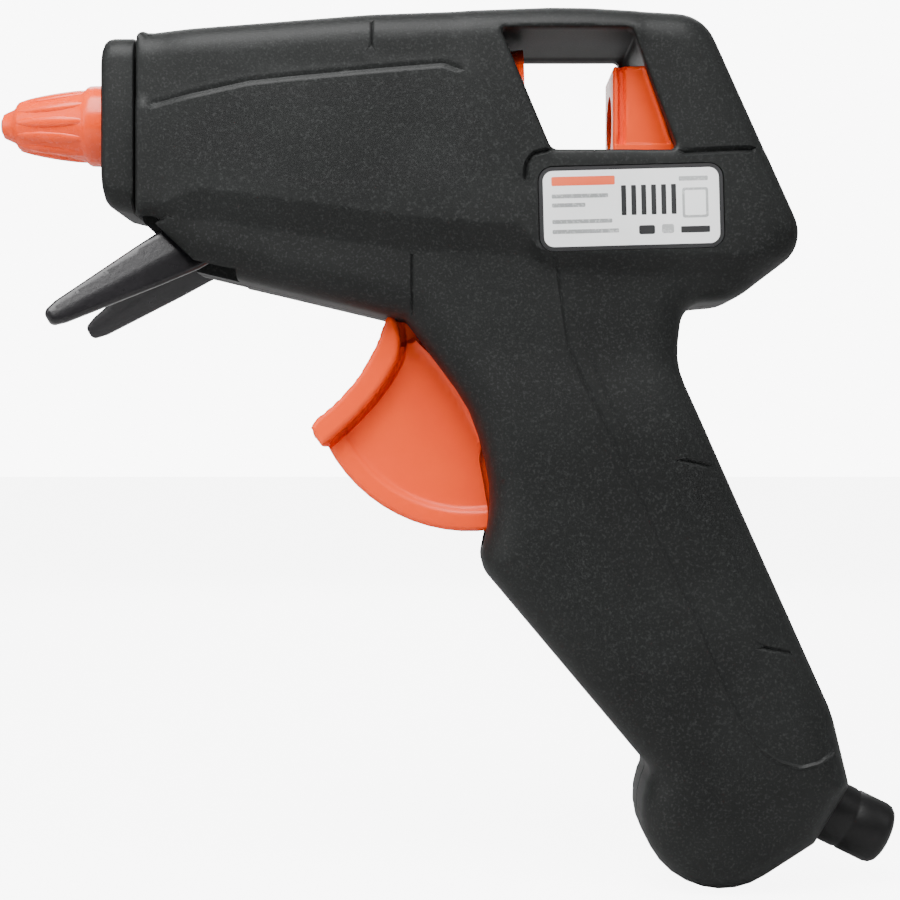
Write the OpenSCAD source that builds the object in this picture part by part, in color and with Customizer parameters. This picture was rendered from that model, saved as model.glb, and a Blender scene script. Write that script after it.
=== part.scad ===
// Trigger-fed hot glue gun for 11 mm sticks.
// X runs along the glue stick, and the nozzle points to -X. Z is up and the casing splits on the plane Y = 0.
// The origin is where glue leaves the nozzle, on the axis of the stick.

/* [Glue stick] */
// Diameter of the glue stick
stick_d = 11.2; // [10.8:0.1:11.6]
// Radial room around the stick in everything that guides it
stick_gap = 0.4; // [0.2:0.1:0.6]

/* [Casing] */
// Thickness of the casing walls
wall = 2.4; // [2:0.1:2.8]
// Half of the width across the barrel and the rear body
body_half = 19; // [16:0.5:23]
// Half of the width across the handle
handle_half = 17; // [15:0.5:20]
// Rounding of the casing's outer edges
edge_r = 5; // [3.5:0.5:5.5]
// Extra length of the handle, along its own slope
handle_extra = 0; // [-15:1:20]
// Depth of the recess that the rating label lies in
label_sink = 0.4; // [0.2:0.1:0.8]

/* [Nose] */
// How far the nozzle stands out of the nose collar
nozzle_reach = 23.3; // [18:0.1:28]
// Diameter of the hole that the glue leaves by
orifice_d = 2; // [1.4:0.1:3]
// Diameter of the silicone cap where it meets the collar
cap_d = 16.8; // [15:0.1:17.6]
// Thickness of the nose collar's front plate
collar_t = 6.2; // [4:0.1:8]

/* [Melt chamber] */
// Length of the melt chamber
chamber_l = 50; // [44:1:54]
// Outer diameter of the melt chamber
chamber_d = 19; // [17:0.5:20]

/* [Trigger] */
// Diameter of the trigger's hinge pin
trigger_pin_d = 4; // [3:0.1:5]
// Radius of the trigger's round lower edge about its hinge
trigger_r = 31.5; // [29:0.5:32.5]
// Width of the finger pad
pad_w = 18; // [14:0.5:22]
// Thickness of the trigger's web at its rim
rim_w = 11; // [9:0.5:13]
// Angle that the trigger is squeezed through
trigger_sweep = 24; // [18:1:26]

/* [Feed] */
// Diameter of the pins in the feed linkage
feed_pin_d = 2.4; // [2:0.1:3]
// Distance from the trigger's hinge to the drive pin
arm_h = 33; // [30:0.5:34]
// Length of the clamping pawl above its pin
pawl_l = 18; // [16:0.5:19]

/* [Stand] */
// Diameter of the stand's hinge pin
stand_pin_d = 3; // [2.5:0.1:4]
// Length of each leg, from the hinge to its tip
leg_l = 35; // [28:1:40]
// Half of the distance between the outsides of the two tips
stand_half = 24.5; // [20:0.5:30]

/* [Cord entry] */
// Diameter of the cord that the boot is made for
cord_d = 6.6; // [5:0.1:8]
// Outer diameter of the boot
boot_d = 13.2; // [11:0.1:14]

/* [Screws] */
// Diameter of the casing screws
screw_d = 2.8; // [2.2:0.1:3]
// Diameter of their heads
screw_head_d = 5.4; // [4.5:0.1:6]

/* [Hidden] */
$fn = 48;

run_fit = 0.05;   // radial room between a pin and the bore that turns on it
slide_fit = 0.4;  // room between sliding faces
seat_fit = 0.1;   // room between a piece and the seat that holds it still
hold_fit = 0.02;  // radial room round a pin or screw in the piece that grips it

black = [0.16, 0.17, 0.17];
orange = [0.93, 0.36, 0.12];
steel = [0.70, 0.71, 0.73];
aluminium = [0.78, 0.79, 0.80];
copper = [0.80, 0.52, 0.30];
amber = [0.72, 0.48, 0.16];
white = [0.93, 0.93, 0.92];

stick_r = stick_d / 2;
guide_r = stick_r + stick_gap;
collar_x = nozzle_reach;
casing_x = collar_x + collar_t + 1;    // a 1 mm groove parts the collar from the casing
chamber_x = casing_x + 5.5;
chamber_end = chamber_x + chamber_l;
chamber_r = chamber_d / 2;
neck_r = chamber_r - 1.5;
thread_r = 5;

trigger_p = [103.5, -50.5];
rim_p = [95.6, -53.2];                 // centre of the trigger's round lower edge
rim_v = rim_p - trigger_p;
arm_lean = trigger_sweep / 2;          // the arm stands upright half way through its swing
rim_low = trigger_p.y + rim_v.x * sin(trigger_sweep) + rim_v.y * cos(trigger_sweep) - trigger_r;
slot_low = rim_low - slide_fit - 0.2;  // the trigger's slot ends below the squeezed trigger's rim
drive_rest = [trigger_p.x + arm_h * sin(arm_lean), trigger_p.y + arm_h * cos(arm_lean)];
drive_z = trigger_p.y + arm_h * (1 + cos(arm_lean)) / 2;
feed_r = feed_pin_d / 2;
pawl_p = [137.4, -9.4];
pawl_lean = 18.6;                      // the pawl and the struts beside it lean by this much
carriage_x = 127.3;

stand_p = [casing_x + 11.5, -25.2];
stand_in = 9.5;                        // inner face of each leg at the hinge
leg_t = 3.2;
splay = asin((stand_half - leg_t - stand_in) / leg_l);

lean = [0.408, -0.913];                // the way the handle runs
low = handle_extra * lean;
bulb = [149.2, -141.5] + low;
bulb_r = 16.2;
bulb_e = edge_r + 1.6;
boot_p = [174.5, -143.9] + low;        // where the boot leaves the casing
boot_a = 26;                           // its slope below the horizontal

// The casing's screws as [x, z, 1 in the handle or 0 above it]. The first stands over the sleeve's waist.
screws = [[chamber_end + 2, 14.6, 0], [142.4, 14.4, 0], [156.5, -24, 0], [62, -25.5, 0],
          [116, -90, 1], [160.5 + low.x, -118 + low.y, 1], [139.5 + low.x, -146.5 + low.y, 1]];

function unit(v) = v / norm(v);
function flat(lists) = [for (l = lists) each l];
function cross2(a, b) = a.x * b.y - a.y * b.x;
function wide(s) = (s[2] == 0 ? body_half : handle_half);

// Points round the corner p between its neighbours a and b, with the outline moved in by d.
function corner_arc(a, p, b, r0, d) =
    let (
        u = unit([p.x - a.x, p.y - a.y]),
        v = unit([b.x - p.x, b.y - p.y]),
        turn = asin(max(-1, min(1, cross2(u, v)))),
        full = u * v < 0 ? sign(turn) * (180 - abs(turn)) : turn,
        bulge = full < 0 ? 1 : -1,
        r = bulge > 0 ? max(r0, d + 0.05) : r0,
        inward = [u.y, -u.x],
        centre = [p.x, p.y] - u * r * tan(abs(full) / 2) + bulge * r * inward,
        steps = max(1, ceil(abs(full) / 15))
    )
    [for (i = [0:steps])
        let (t = full * i / steps)
        centre - bulge * (r - bulge * d)
            * [inward.x * cos(t) - inward.y * sin(t), inward.x * sin(t) + inward.y * cos(t)]];

function outline(c, d = 0) =
    let (n = len(c))
    flat([for (i = [0:n - 1])
        corner_arc([c[(i + n - 1) % n].x, c[(i + n - 1) % n].y], [c[i].x, c[i].y],
                   [c[(i + 1) % n].x, c[(i + 1) % n].y], c[i][2], d)]);

// Outlines as corners [x, z, radius], clockwise.
body_corners = [
    [casing_x, 16.9, 1.5], [78, 20.6, 40], [116, 22.0, 40], [145.2, 20.5, 9],
    [166.6, -26.5, 8.5], [150, -37.4, 8], [120, -41, 8], [84.5, -41.4, 1.5], [41, -31.0, 2.5],
    [casing_x, -20.6, 1.5]
];
handle_corners = [
    [90, -28, 1], [134, -28, 1], [135.4, -41.2, 1],
    [171.8 + low.x, -121 + low.y, 14], [175.6 + low.x, -136 + low.y, 3],
    [168.4 + low.x, -147.8 + low.y, 2.5], [157 + low.x, -155.6 + low.y, 2],
    [138 + low.x, -148 + low.y, 2], [131.5 + low.x, -128.7 + low.y, 1],
    [100.2, -91, 6], [102.6, -76, 30], [98.6, -60.5, 24], [85.2, -41.2, 3]
];
window_corners = [[105.7, 17.3, 1.5], [131.9, 17.3, 2], [140.3, -7.7, 1.5], [114.3, -7.7, 2]];

// Pieces of the right half are drawn with $right set, which swaps the two sides of the plane Y = 0.
$right = false;

// A 2D shape in the X-Z plane made into a plate from y0 to y1.
module plate(y0, y1) {
    translate([0, $right ? -y0 : y1, 0])
        rotate([90, 0, 0])
            linear_extrude(height = y1 - y0)
                children();
}

module slab(points, y0, y1) {
    plate(y0, y1) polygon(points);
}

// A cylinder along Y through the point p = [x, z].
module rod(p, r, y0, y1) {
    translate([p.x, $right ? -y0 : y1, p.y])
        rotate([90, 0, 0])
            cylinder(r = r, h = y1 - y0);
}

// A cylinder or cone along X on the stick's axis.
module barrel(x0, x1, r0, r1 = undef) {
    translate([x0, 0, 0])
        rotate([0, 90, 0])
            cylinder(r1 = r0, r2 = is_undef(r1) ? r0 : r1, h = x1 - x0);
}

// A profile of [x, radius] points turned about the stick's axis.
module turned(points) {
    rotate([0, 90, 0])
        rotate_extrude()
            polygon([for (p = points) [p.y, p.x]]);
}

module box(lo, hi) {
    translate([lo.x, $right ? -hi.y : lo.y, lo.z]) cube(hi - lo);
}

// Everything to the right of the line p-q, with the edge rounded by r on the side where Y = -half.
module edged(p, q, half, r) {
    a = atan2(q.y - p.y, q.x - p.x);
    translate([p.x, 0, p.y])
        rotate([0, -a, 0])
            translate([-160, 0, 0])
                rotate([90, 0, 90])
                    linear_extrude(height = 320)
                        polygon([for (c = concat([[1, -170], [1, 0]],
                            [for (t = [90:22.5:180]) [r - half + r * cos(t), r * sin(t) - r]],
                            [[-half, -170]])) [$right ? -c.x : c.x, c.y]]);
}

// The outside of the left half, which lies at Y below 0.
module half_outside() {
    c = body_corners;
    intersection() {
        slab(outline(c), -body_half, 0);
        edged([c[0].x, c[0].y], [c[1].x, c[1].y], body_half, edge_r);
        edged([c[1].x, c[1].y], [c[2].x, c[2].y], body_half, edge_r);
        edged([c[2].x, c[2].y], [c[3].x, c[3].y], body_half, edge_r);
        edged([c[3].x, c[3].y], [c[4].x, c[4].y], body_half, edge_r);
        edged([c[4].x, c[4].y], [c[5].x, c[5].y], body_half, edge_r);
        edged([c[7].x, c[7].y], [c[8].x, c[8].y], body_half, edge_r);
    }
    h = handle_corners;
    intersection() {
        slab(outline(h), -handle_half, 0);
        edged([135.4, -41.2], [h[3].x, h[3].y], handle_half, edge_r);
        edged([h[8].x, h[8].y], [h[9].x, h[9].y], handle_half, edge_r);
    }
    // the web between thumb hook and handle
    slab([[134, -36], [149, -36.5], [144.1, -38.6], [141.6, -42.3], [140.4, -46.4], [140.7, -51],
          [142.3, -56], [138, -56]], 2.5 - handle_half, 0);
    // the round bulb at the foot of the handle
    translate([bulb.x, 0, bulb.y])
        rotate([$right ? -90 : 90, 0, 0])
            rotate_extrude()
                polygon(concat([[0, 0], [bulb_r, 0]],
                    [for (t = [0:22.5:90])
                        [bulb_r - bulb_e + bulb_e * cos(t), handle_half - 0.7 - bulb_e + bulb_e * sin(t)]],
                    [[0, handle_half - 0.7]]));
}

module half_inside() {
    slab(outline(body_corners, wall), wall - body_half, 1);
    slab(outline(handle_corners, wall), wall - handle_half, 1);
    rod(bulb, bulb_r - wall, wall + 0.9 - handle_half, 1);
}

// Walls, posts and seats inside the left half.
module half_furniture() {
    b = 1 - body_half;
    h = 1 - handle_half;
    // the bridge over the window and the strut behind it are solid
    slab([[103.5, 17.3], [134, 17.3], [134, 20.8], [103.5, 20.8]], b, 0);
    slab([[131.9, 17.5], [140.3, -7.7], [141.3, -11.5], [158, -11.5], [144.2, 18.8], [134, 20.8]], b, 0);
    // cheeks that carry the melt chamber and the sleeve
    for (x = [chamber_x + 11, chamber_end - 15])
        difference() {
            box([x, b, -12], [x + 2.4, 0, 12.5]);
            barrel(x - 1, x + 4, chamber_r + seat_fit);
            box([x - 1, -9, -20], [x + 4, 1, 0]);
        }
    difference() {
        box([chamber_end + 10, b, -9], [chamber_end + 12.4, 0, 13]);
        barrel(chamber_end + 9, chamber_end + 14, 9 + seat_fit);
    }
    // rails that the carriage slides between
    rail_x = chamber_end + 24;             // clear of the sleeve's mouth
    box([rail_x, b, -10.2], [139.5, -10.7, -8.6]);
    box([rail_x, b, -12.4 - slide_fit - 1.8], [142, -10.7, -12.4 - slide_fit]);
    // bearings for the trigger and the stand
    rod(trigger_p, 5, h, -rim_w / 2 - slide_fit - 0.1);
    rod(stand_p, 4.6, b, -stand_in - leg_t - 3.6);
    // screw posts
    for (s = screws) rod([s.x, s.y], 3.6, 1 - wide(s), 0);
    // the socket that grips the boot
    intersection() {
        translate([boot_p.x, 0, boot_p.y])
            rotate([0, 90 + boot_a, 0])
                translate([0, 0, -7]) cylinder(r = 10.5, h = 6.4);
        box([150, h, -175 + low.y], [190 + low.x, 0, -120 + low.y]);
        slab(outline(handle_corners, 0.8), h, 0);
    }
}

module half_cuts() {
    b = 1 - body_half;
    slab(outline(window_corners), -body_half - 1, 1);
    // the opening that the nose collar's neck passes through
    box([casing_x - 1, -12.5, -15.5], [casing_x + 3.2, 1, 12]);
    // the slot that the trigger swings in
    slab([[74, -41.3], [86, -41.3], [87, -37], [107, -37], [107, -56], [106, slot_low], [74, slot_low]],
         -rim_w / 2 - 0.6, 1);
    // the openings that the stand's legs swing in
    slab([[stand_p.x - 12, -18.2], [stand_p.x + 4, -18.2], [stand_p.x + 9.6, -23], [stand_p.x + 9.6, -42],
          [stand_p.x - 12, -42]], -stand_in - leg_t - 3.4, 2.8 - stand_in);
    rod(stand_p, 3.6, -stand_in, 1);
    rod(stand_p, stand_pin_d / 2 + hold_fit, 2 - body_half, 1);
    rod(trigger_p, trigger_pin_d / 2 + hold_fit, 3 - handle_half, 1);
    // the way in for the stick and the guide ring's seat
    barrel(130, 168, 8.5 + seat_fit);
    barrel(143 - seat_fit, 145.5 + seat_fit, 10.5 + seat_fit);
    // a shallow groove along the barrel and the band under it
    slab([[41.5, 2.6], [61.7, 6.0], [78, 7.6], [95, 8.4], [95, 9.6], [78, 8.8], [61.7, 7.2], [41.5, 3.8]],
         -body_half - 1, 0.7 - body_half);
    slab([[casing_x - 1, -17.2], [44, -15.6], [87, -21.6], [107.9, -22.9], [107.9, -28], [85, -27.4],
          [87, -48], [30, -48]], -body_half - 1, 1.2 - body_half);
    // the boot's seat
    translate([boot_p.x, 0, boot_p.y])
        rotate([0, 90 + boot_a, 0]) {
            translate([0, 0, -9]) cylinder(r = boot_d / 2 + seat_fit, h = 20);
            translate([0, 0, -5 - seat_fit]) cylinder(r = boot_d / 2 + 1.6 + seat_fit, h = 2.2 + 2 * seat_fit);
        }
}

module half_casing() {
    difference() {
        union() {
            difference() {
                half_outside();
                half_inside();
            }
            half_furniture();
        }
        half_cuts();
    }
}

module label_place(y0, y1, grow = 0) {
    translate([130.2, 0, -19.3])
        rotate([0, -1.5, 0])
            slab(outline([[-17.7 - grow, 7.8 + grow, 2], [17.7 + grow, 7.8 + grow, 2],
                          [17.7 + grow, -7.8 - grow, 2], [-17.7 - grow, -7.8 - grow, 2]]), y0, y1);
}

module casing_left() {
    color(black)
        difference() {
            union() {
                half_casing();
                clamp_posts();
            }
            for (s = screws) rod([s.x, s.y], screw_d / 2 + hold_fit, 5 - wide(s), 1);
            label_place(-body_half - 1, label_sink - body_half, seat_fit);
        }
}

module casing_right() {
    color(black)
        difference() {
            half_casing($right = true);
            for (s = screws) {
                rod([s.x, s.y], screw_d / 2 + 0.2, -1, wide(s) - 6);
                rod([s.x, s.y], screw_head_d / 2 + 0.3, wide(s) - 7, wide(s) + 1);
            }
        }
}

module casing_screws() {
    color(steel)
        for (s = screws)
            difference() {
                union() {
                    rod([s.x, s.y], screw_head_d / 2, wide(s) - 7, wide(s) - 5);
                    rod([s.x, s.y], screw_d / 2, 6 - wide(s), wide(s) - 6.9);
                }
                box([s.x - 1.6, wide(s) - 5.9, s.y - 0.35], [s.x + 1.6, wide(s), s.y + 0.35]);
                box([s.x - 0.35, wide(s) - 5.9, s.y - 1.6], [s.x + 0.35, wide(s), s.y + 1.6]);
            }
}

function nose_shape(d) = outline([[-16.2, 15.8, 5], [16.2, 15.8, 5], [16.2, -19, 5], [-16.2, -19, 5]], d);

module nose_collar() {
    color(black)
        difference() {
            union() {
                translate([collar_x, 0, 0])
                    rotate([90, 0, 90]) linear_extrude(height = 2) polygon(nose_shape(1.4));
                translate([collar_x + 1.2, 0, 0])
                    rotate([90, 0, 90]) linear_extrude(height = collar_t - 1.2) polygon(nose_shape(0));
                box([casing_x - 1.2, -12.4, -15.4], [casing_x + 4.4, 12.4, 11.9]);
                box([casing_x + 2.4 + 0.1, -14, -16.4], [casing_x + 4.4, 14, 13.2]);
            }
            barrel(collar_x - 1, casing_x + 6, cap_d / 2 + seat_fit);
        }
}

module nozzle_cap() {
    e = cap_d / 2;
    color(orange) {
        turned([[0.7, 2.35], [1.0, 2.75], [3.0, 3.6], [3.7, 4.9], [4.4, 5.3], [18, e - 0.9], [18.6, e],
                [casing_x + 1, e], [casing_x + 1, 6.7], [22, 6.2], [3.9, 3.1], [0.7, 2.05]]);
        for (a = [0:30:330])
            rotate([a, 0, 0])
                translate([4.2, -0.7, 4.7])
                    rotate([0, -10.5, 0])
                        cube([14.6, 1.4, 1.1]);
    }
}

module nozzle() {
    f = 0.1;
    color(aluminium)
        difference() {
            union() {
                turned([[0, 0], [0, 1.6], [0.3, 1.85], [0.7, 2.05 - f], [3.9, 3.1 - f], [22, 6.2 - f],
                        [casing_x + 0.9, 6.7 - f], [casing_x + 0.9, 0]]);
                translate([casing_x + 0.8, 0, 0])
                    rotate([0, 90, 0]) cylinder(r = 7.2, h = chamber_x - casing_x - 0.8, $fn = 6);
                barrel(chamber_x - 1, chamber_x + 9, thread_r);
            }
            barrel(-1, 6, orifice_d / 2);
            barrel(5, 6.6, orifice_d / 2 + 0.2, 2.6);
            barrel(6.59, 22, 2.6);
            barrel(21.9, chamber_x + 10, 3.2);
        }
}

module nozzle_ball() {
    color(steel) translate([7.9, 0, 0]) sphere(r = 2.0);
}

module nozzle_spring() {
    color(steel)
        rotate([0, 90, 0])
            for (x = [10.4:1.9:21.8])
                translate([0, 0, x]) rotate_extrude() translate([1.9, 0]) circle(r = 0.35, $fn = 16);
}

module spring_retainer() {
    color(steel)
        difference() {
            barrel(22.25, 24.25, 3.2 - hold_fit);
            barrel(22, 25, 1.5);
        }
}

module melt_chamber() {
    x = chamber_x;
    e = chamber_end;
    color(aluminium)
        difference() {
            union() {
                barrel(x, e - 7, chamber_r);
                barrel(e - 7.1, e, neck_r);
                box([x + 10, -8.5, -17.5], [e - 8, 8.5, -4]);
            }
            barrel(x - 1, x + 10, thread_r + hold_fit);
            barrel(x + 9.9, x + 16, 3.2, guide_r - 0.4);
            barrel(x + 15.9, e - 8, guide_r - 0.4, guide_r);
            barrel(e - 8.1, e + 1, guide_r);
            box([x + 9, -6.6, -15.3], [e - 7, 6.6, -10.9]);
        }
}

module ptc_heater() {
    color([0.25, 0.23, 0.22]) {
        box([chamber_x + 12, -5.4, -14.4], [chamber_x + 23, 5.4, -11.8]);
        box([chamber_x + 25, -5.4, -14.4], [chamber_x + 36, 5.4, -11.8]);
    }
}

module heater_electrodes() {
    color(copper) {
        box([chamber_x + 9.5, -5.7, -11.8], [chamber_x + 38, 5.7, -11.3]);
        box([chamber_x + 3.5, -5.4, -11.8], [chamber_x + 9.6, -2.4, -11.3]);
        box([chamber_x + 9.5, -5.7, -14.9], [chamber_x + 38, 5.7, -14.4]);
        box([chamber_x + 3.5, 2.4, -14.9], [chamber_x + 9.6, 5.4, -14.4]);
    }
}

module heater_insulation() {
    color(amber)
        difference() {
            box([chamber_x + 10.5, -6.4, -15.2], [chamber_x + 39, 6.4, -11.0]);
            box([chamber_x + 10, -6.0, -14.95], [chamber_x + 40, 6.0, -11.25]);
        }
}

module heater_clip() {
    color(steel)
        difference() {
            union() {
                barrel(chamber_x + 21, chamber_x + 28, chamber_r + 0.9);
                box([chamber_x + 21, -9.4, -18.4], [chamber_x + 28, 9.4, 0]);
            }
            barrel(chamber_x + 20, chamber_x + 29, chamber_r + 0.05);
            box([chamber_x + 20, -8.55, -17.55], [chamber_x + 29, 8.55, 0]);
            box([chamber_x + 20, -6, 5], [chamber_x + 29, 6, 12]);
        }
}

module inlet_sleeve() {
    e = chamber_end;
    f = neck_r + seat_fit;
    color(orange)
        difference() {
            turned([[e - 6.8, f], [e - 6.8, f + 1.6], [e - 2, f + 1.6], [e + 1, 9], [e + 13, 9], [e + 18, 11.5],
                    [e + 20, 15.4], [e + 23, 15.8], [e + 23, 13.5], [e + 20, 8.6], [e + 10, guide_r + 0.3],
                    [e + 0.3, guide_r + 0.1], [e + 0.2, f]]);
            box([e, -20, -20], [e + 30, 20, -9.2]);
        }
}

module sleeve_clip() {
    e = chamber_end;
    f = neck_r + seat_fit + 1.6;
    color(steel) {
        difference() {
            barrel(e - 5.5, e - 3, f + 0.9);
            barrel(e - 6, e - 2, f + 0.02);
            box([e - 6, -1.2, 4], [e - 2, 1.2, 14]);
        }
        box([e - 5.5, -2.2, f + 0.2], [e - 3, -1.2, f + 3.4]);
        box([e - 5.5, 1.2, f + 0.2], [e - 3, 2.2, f + 3.4]);
    }
}

module stick_guide_ring() {
    color(black)
        difference() {
            union() {
                barrel(136.5, 150, 8.5);
                barrel(143, 145.5, 10.5);
            }
            barrel(130, 160, guide_r);
            barrel(148.5, 150.1, guide_r, guide_r + 1.6);
            // its front end leans with the strut
            slab([[120, 30], [128.6, 30], [143.4, -14], [120, -14]], -20, 20);
        }
}

module trigger() {
    p = trigger_p;
    f = rim_w / 2;
    arc = [for (t = [208.5:5:283.5]) rim_p + trigger_r * [cos(t), sin(t)]];
    inner = [for (t = [210:5:283]) rim_p + (trigger_r - 4.5) * [cos(t), sin(t)]];
    color(orange)
        difference() {
            union() {
                // the web and the thicker rim round its lower edge
                slab(concat([[106.5, -72], [109, -60], [109.2, -50.5], [103.5, -44.8], [91, -44.6],
                             [83.4, -42.7], [74, -56]], arc), 1 - f, f - 1);
                slab(concat(arc, [for (i = [len(inner) - 1:-1:0]) inner[i]]), -f, f);
                rod(p, 6, -f, f);
                // the finger pad
                slab([[81.6, -41.9], [78.4, -46.4], [75.1, -51.1], [71.8, -55.7], [68.4, -59.0], [65.6, -62.2],
                      [64.8, -64.6], [65.2, -67.2], [67.4, -69.6], [70.2, -69.3], [72.2, -66.0], [73.7, -62.2],
                      [77.0, -57.8], [80.3, -52.9], [83.0, -48.6], [83.9, -44.6], [83.2, -42.4]],
                     -pad_w / 2, pad_w / 2);
                // the arm up to the drive pin
                translate([p.x, 0, p.y])
                    rotate([0, arm_lean, 0])
                        box([-2.7, -3, 2], [2.7, 3, arm_h - 2]);
                rod(drive_rest, 3.2, -3, 3);
            }
            rod(p, trigger_pin_d / 2 + run_fit, -20, 20);
            rod(drive_rest, feed_r + hold_fit, -20, 20);
        }
}

module trigger_pin() {
    color(steel) rod(trigger_p, trigger_pin_d / 2, 3.3 - handle_half, handle_half - 3.3);
}

module trigger_spring() {
    p = trigger_p;
    y = -rim_w / 2 - 1.6;
    color(steel) {
        for (i = [0:3])
            translate([p.x, y - 1.25 * i, p.y])
                rotate([90, 0, 0]) rotate_extrude() translate([5.9, 0]) circle(r = 0.5, $fn = 16);
        // one end lies against the trigger's arm, the other against the handle's wall
        wire([[p.x - 5.9, y, p.y], [p.x - 7.6, y, p.y + 1.2], [p.x + 0.3, y, p.y + 20.6],
              [p.x + 0.3, 0, p.y + 20.6]], 0.45);
        wire([[p.x + 5.9, y - 3.75, p.y], [p.x + 8, y - 3.75, p.y - 1.2], [p.x + 12.4, y - 3.75, p.y - 11]],
             0.45);
        translate([p.x - 5.9, y, p.y]) sphere(r = 0.65, $fn = 24);
        translate([p.x + 5.9, y - 3.75, p.y]) sphere(r = 0.65, $fn = 24);
    }
}

module drive_pin() {
    color(steel) rod(drive_rest, feed_r, -6.6, 6.6);
}

module carriage() {
    x = carriage_x;
    d = drive_rest.x;
    slot = feed_r + slide_fit;
    color(orange)
        difference() {
            union() {
                // two cheeks, the front plate between them and the floor
                slab([[x, 13.6], [x + 1, 14.4], [x + 4.2, 14.4], [x + 5.2, 13.2], [x + 12.9, -9.8],
                      [x + 12.9, -14.6], [x, -14.6]], -10, 10);
                box([x, -12.8, -12.4], [x + 11, 12.8, -10.6]);
                // the bar to the drive pin, forked at its end
                box([d + 5.6, -6.4, -20.6], [x + 8, 6.4, -13.4]);
                box([d - 4.6, -6.4, -22.6], [d + 6, -3.4, -12.4]);
                box([d - 4.6, 3.4, -22.6], [d + 6, 6.4, -12.4]);
            }
            // the room that the pawl tips in
            slab([[x + 2, 16], [x + 9, 16], [x + 16, -9.8], [x + 16, -12], [x + 2, -12]], -8, 8);
            barrel(x - 5, x + 20, guide_r + 0.2);
            rod(pawl_p, feed_r + hold_fit, -20, 20);
            // the slots that the drive pin rises and falls in
            slab([[d - slot, drive_z - feed_r - 1.4], [d + slot, drive_z - feed_r - 1.4],
                  [d + slot, drive_z + feed_r + 1.4], [d - slot, drive_z + feed_r + 1.4]], -20, 20);
        }
}

module clamp_pawl() {
    color(steel)
        difference() {
            translate([pawl_p.x, 0, pawl_p.y])
                rotate([0, -pawl_lean, 0])
                    union() {
                        box([-1.3, -7.4, 0], [1.3, 7.4, pawl_l + 1.5]);
                        rod([0, 0], 2.2, -7.4, 7.4);
                    }
            barrel(110, 150, guide_r + 0.5);
            rod(pawl_p, feed_r + run_fit, -20, 20);
        }
}

module pawl_pin() {
    color(steel) rod(pawl_p, feed_r, -9.8, 9.8);
}

module stand_leg() {
    w = 5.6;
    translate([stand_p.x, 0, stand_p.y])
        rotate([0, 149, 0])
            translate([0, stand_in, 0])
                rotate([0, 0, splay])
                    slab([[-w + 1.5, 0], [-w + 2.4, 3.2], [-1.5, w - 0.3], [3, w - 0.2], [12, 4.6],
                          [leg_l - 3, 2.4], [leg_l - 1, 1.6], [leg_l, 0], [leg_l - 1, -1.6], [leg_l - 3, -2.4],
                          [12, -4.6], [3, 0.2 - w], [-1.5, 0.3 - w], [2.4 - w, -3.2]], 0, leg_t);
}

module stand() {
    color(black)
        difference() {
            union() {
                stand_leg();
                mirror([0, 1, 0]) stand_leg();
                rod(stand_p, 3, -stand_in - 1, stand_in + 1);
            }
            rod(stand_p, stand_pin_d / 2 + run_fit, -30, 30);
        }
}

module stand_pin() {
    color(steel) rod(stand_p, stand_pin_d / 2, 2.3 - body_half, body_half - 2.3);
}

module cable_boot() {
    r = boot_d / 2;
    color(black)
        translate([boot_p.x, 0, boot_p.y])
            rotate([0, 90 + boot_a, 0])
                difference() {
                    union() {
                        translate([0, 0, -9]) cylinder(r = r, h = 18.8);
                        translate([0, 0, 9.8]) cylinder(r1 = r, r2 = r - 1.7, h = 1.7);
                        translate([0, 0, -5]) cylinder(r = r + 1.6, h = 2.2);
                    }
                    translate([0, 0, -12]) cylinder(r = cord_d / 2, h = 30);
                }
}

// Where the cord clamp sits, with its own Z along the cord.
module at_clamp() {
    translate([boot_p.x, 0, boot_p.y])
        rotate([0, 90 + boot_a, 0])
            translate([0, 0, -19])
                children();
}

module cord_clamp() {
    color(black)
        at_clamp()
            difference() {
                box([-9, cord_d / 2 - 0.8, -2.5], [9, cord_d / 2 + 2.6, 2.5]);
                translate([0, 0, -4]) cylinder(r = cord_d / 2, h = 8);
                for (x = [-6.5, 6.5]) rod([x, 0], 1.15, -1, 12);
            }
}

module cord_clamp_screws() {
    color(steel)
        at_clamp()
            for (x = [-6.5, 6.5]) {
                rod([x, 0], 1.1, -7, cord_d / 2 + 2.7);
                rod([x, 0], 2.1, cord_d / 2 + 2.61, cord_d / 2 + 4.1);
            }
}

module clamp_posts() {
    at_clamp()
        for (x = [-6.5, 6.5])
            difference() {
                rod([x, 0], 2.4, 1.5 - handle_half, cord_d / 2 - 0.81);
                rod([x, 0], 1.12, -8, 5);
            }
}

// The terminal block, with its own Z up the handle.
module at_block() {
    translate([141, 0, -100])
        rotate([0, -24, 0])
            children();
}

module terminal_block() {
    color(white)
        at_block()
            difference() {
                union() {
                    box([-5, -9, -8], [5, 9, 8]);
                    box([-5, -2, -8], [5, 2, 8.6]);
                }
                for (y = [-5, 5]) {
                    translate([0, y, -9]) cylinder(r = 1.7, h = 18);
                    for (z = [-4.5, 4.5]) translate([-8, y, z]) rotate([0, 90, 0]) cylinder(r = 1.5, h = 8);
                }
            }
}

module terminal_screws() {
    color(steel)
        at_block()
            for (y = [-5, 5])
                for (z = [-4.5, 4.5])
                    difference() {
                        translate([-4.6, y, z]) rotate([0, 90, 0]) cylinder(r = 1.46, h = 3.6);
                        box([-5, y - 1.2, z - 0.2], [-4, y + 1.2, z + 0.2]);
                    }
}

module wire(points, r) {
    for (i = [0:len(points) - 2]) {
        v = points[i + 1] - points[i];
        translate(points[i])
            rotate([0, acos(v.z / norm(v)), atan2(v.y, v.x)])
                cylinder(r = r, h = norm(v), $fn = 16);
        if (i > 0) translate(points[i]) sphere(r = r * 1.1, $fn = 24);
    }
}

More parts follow.
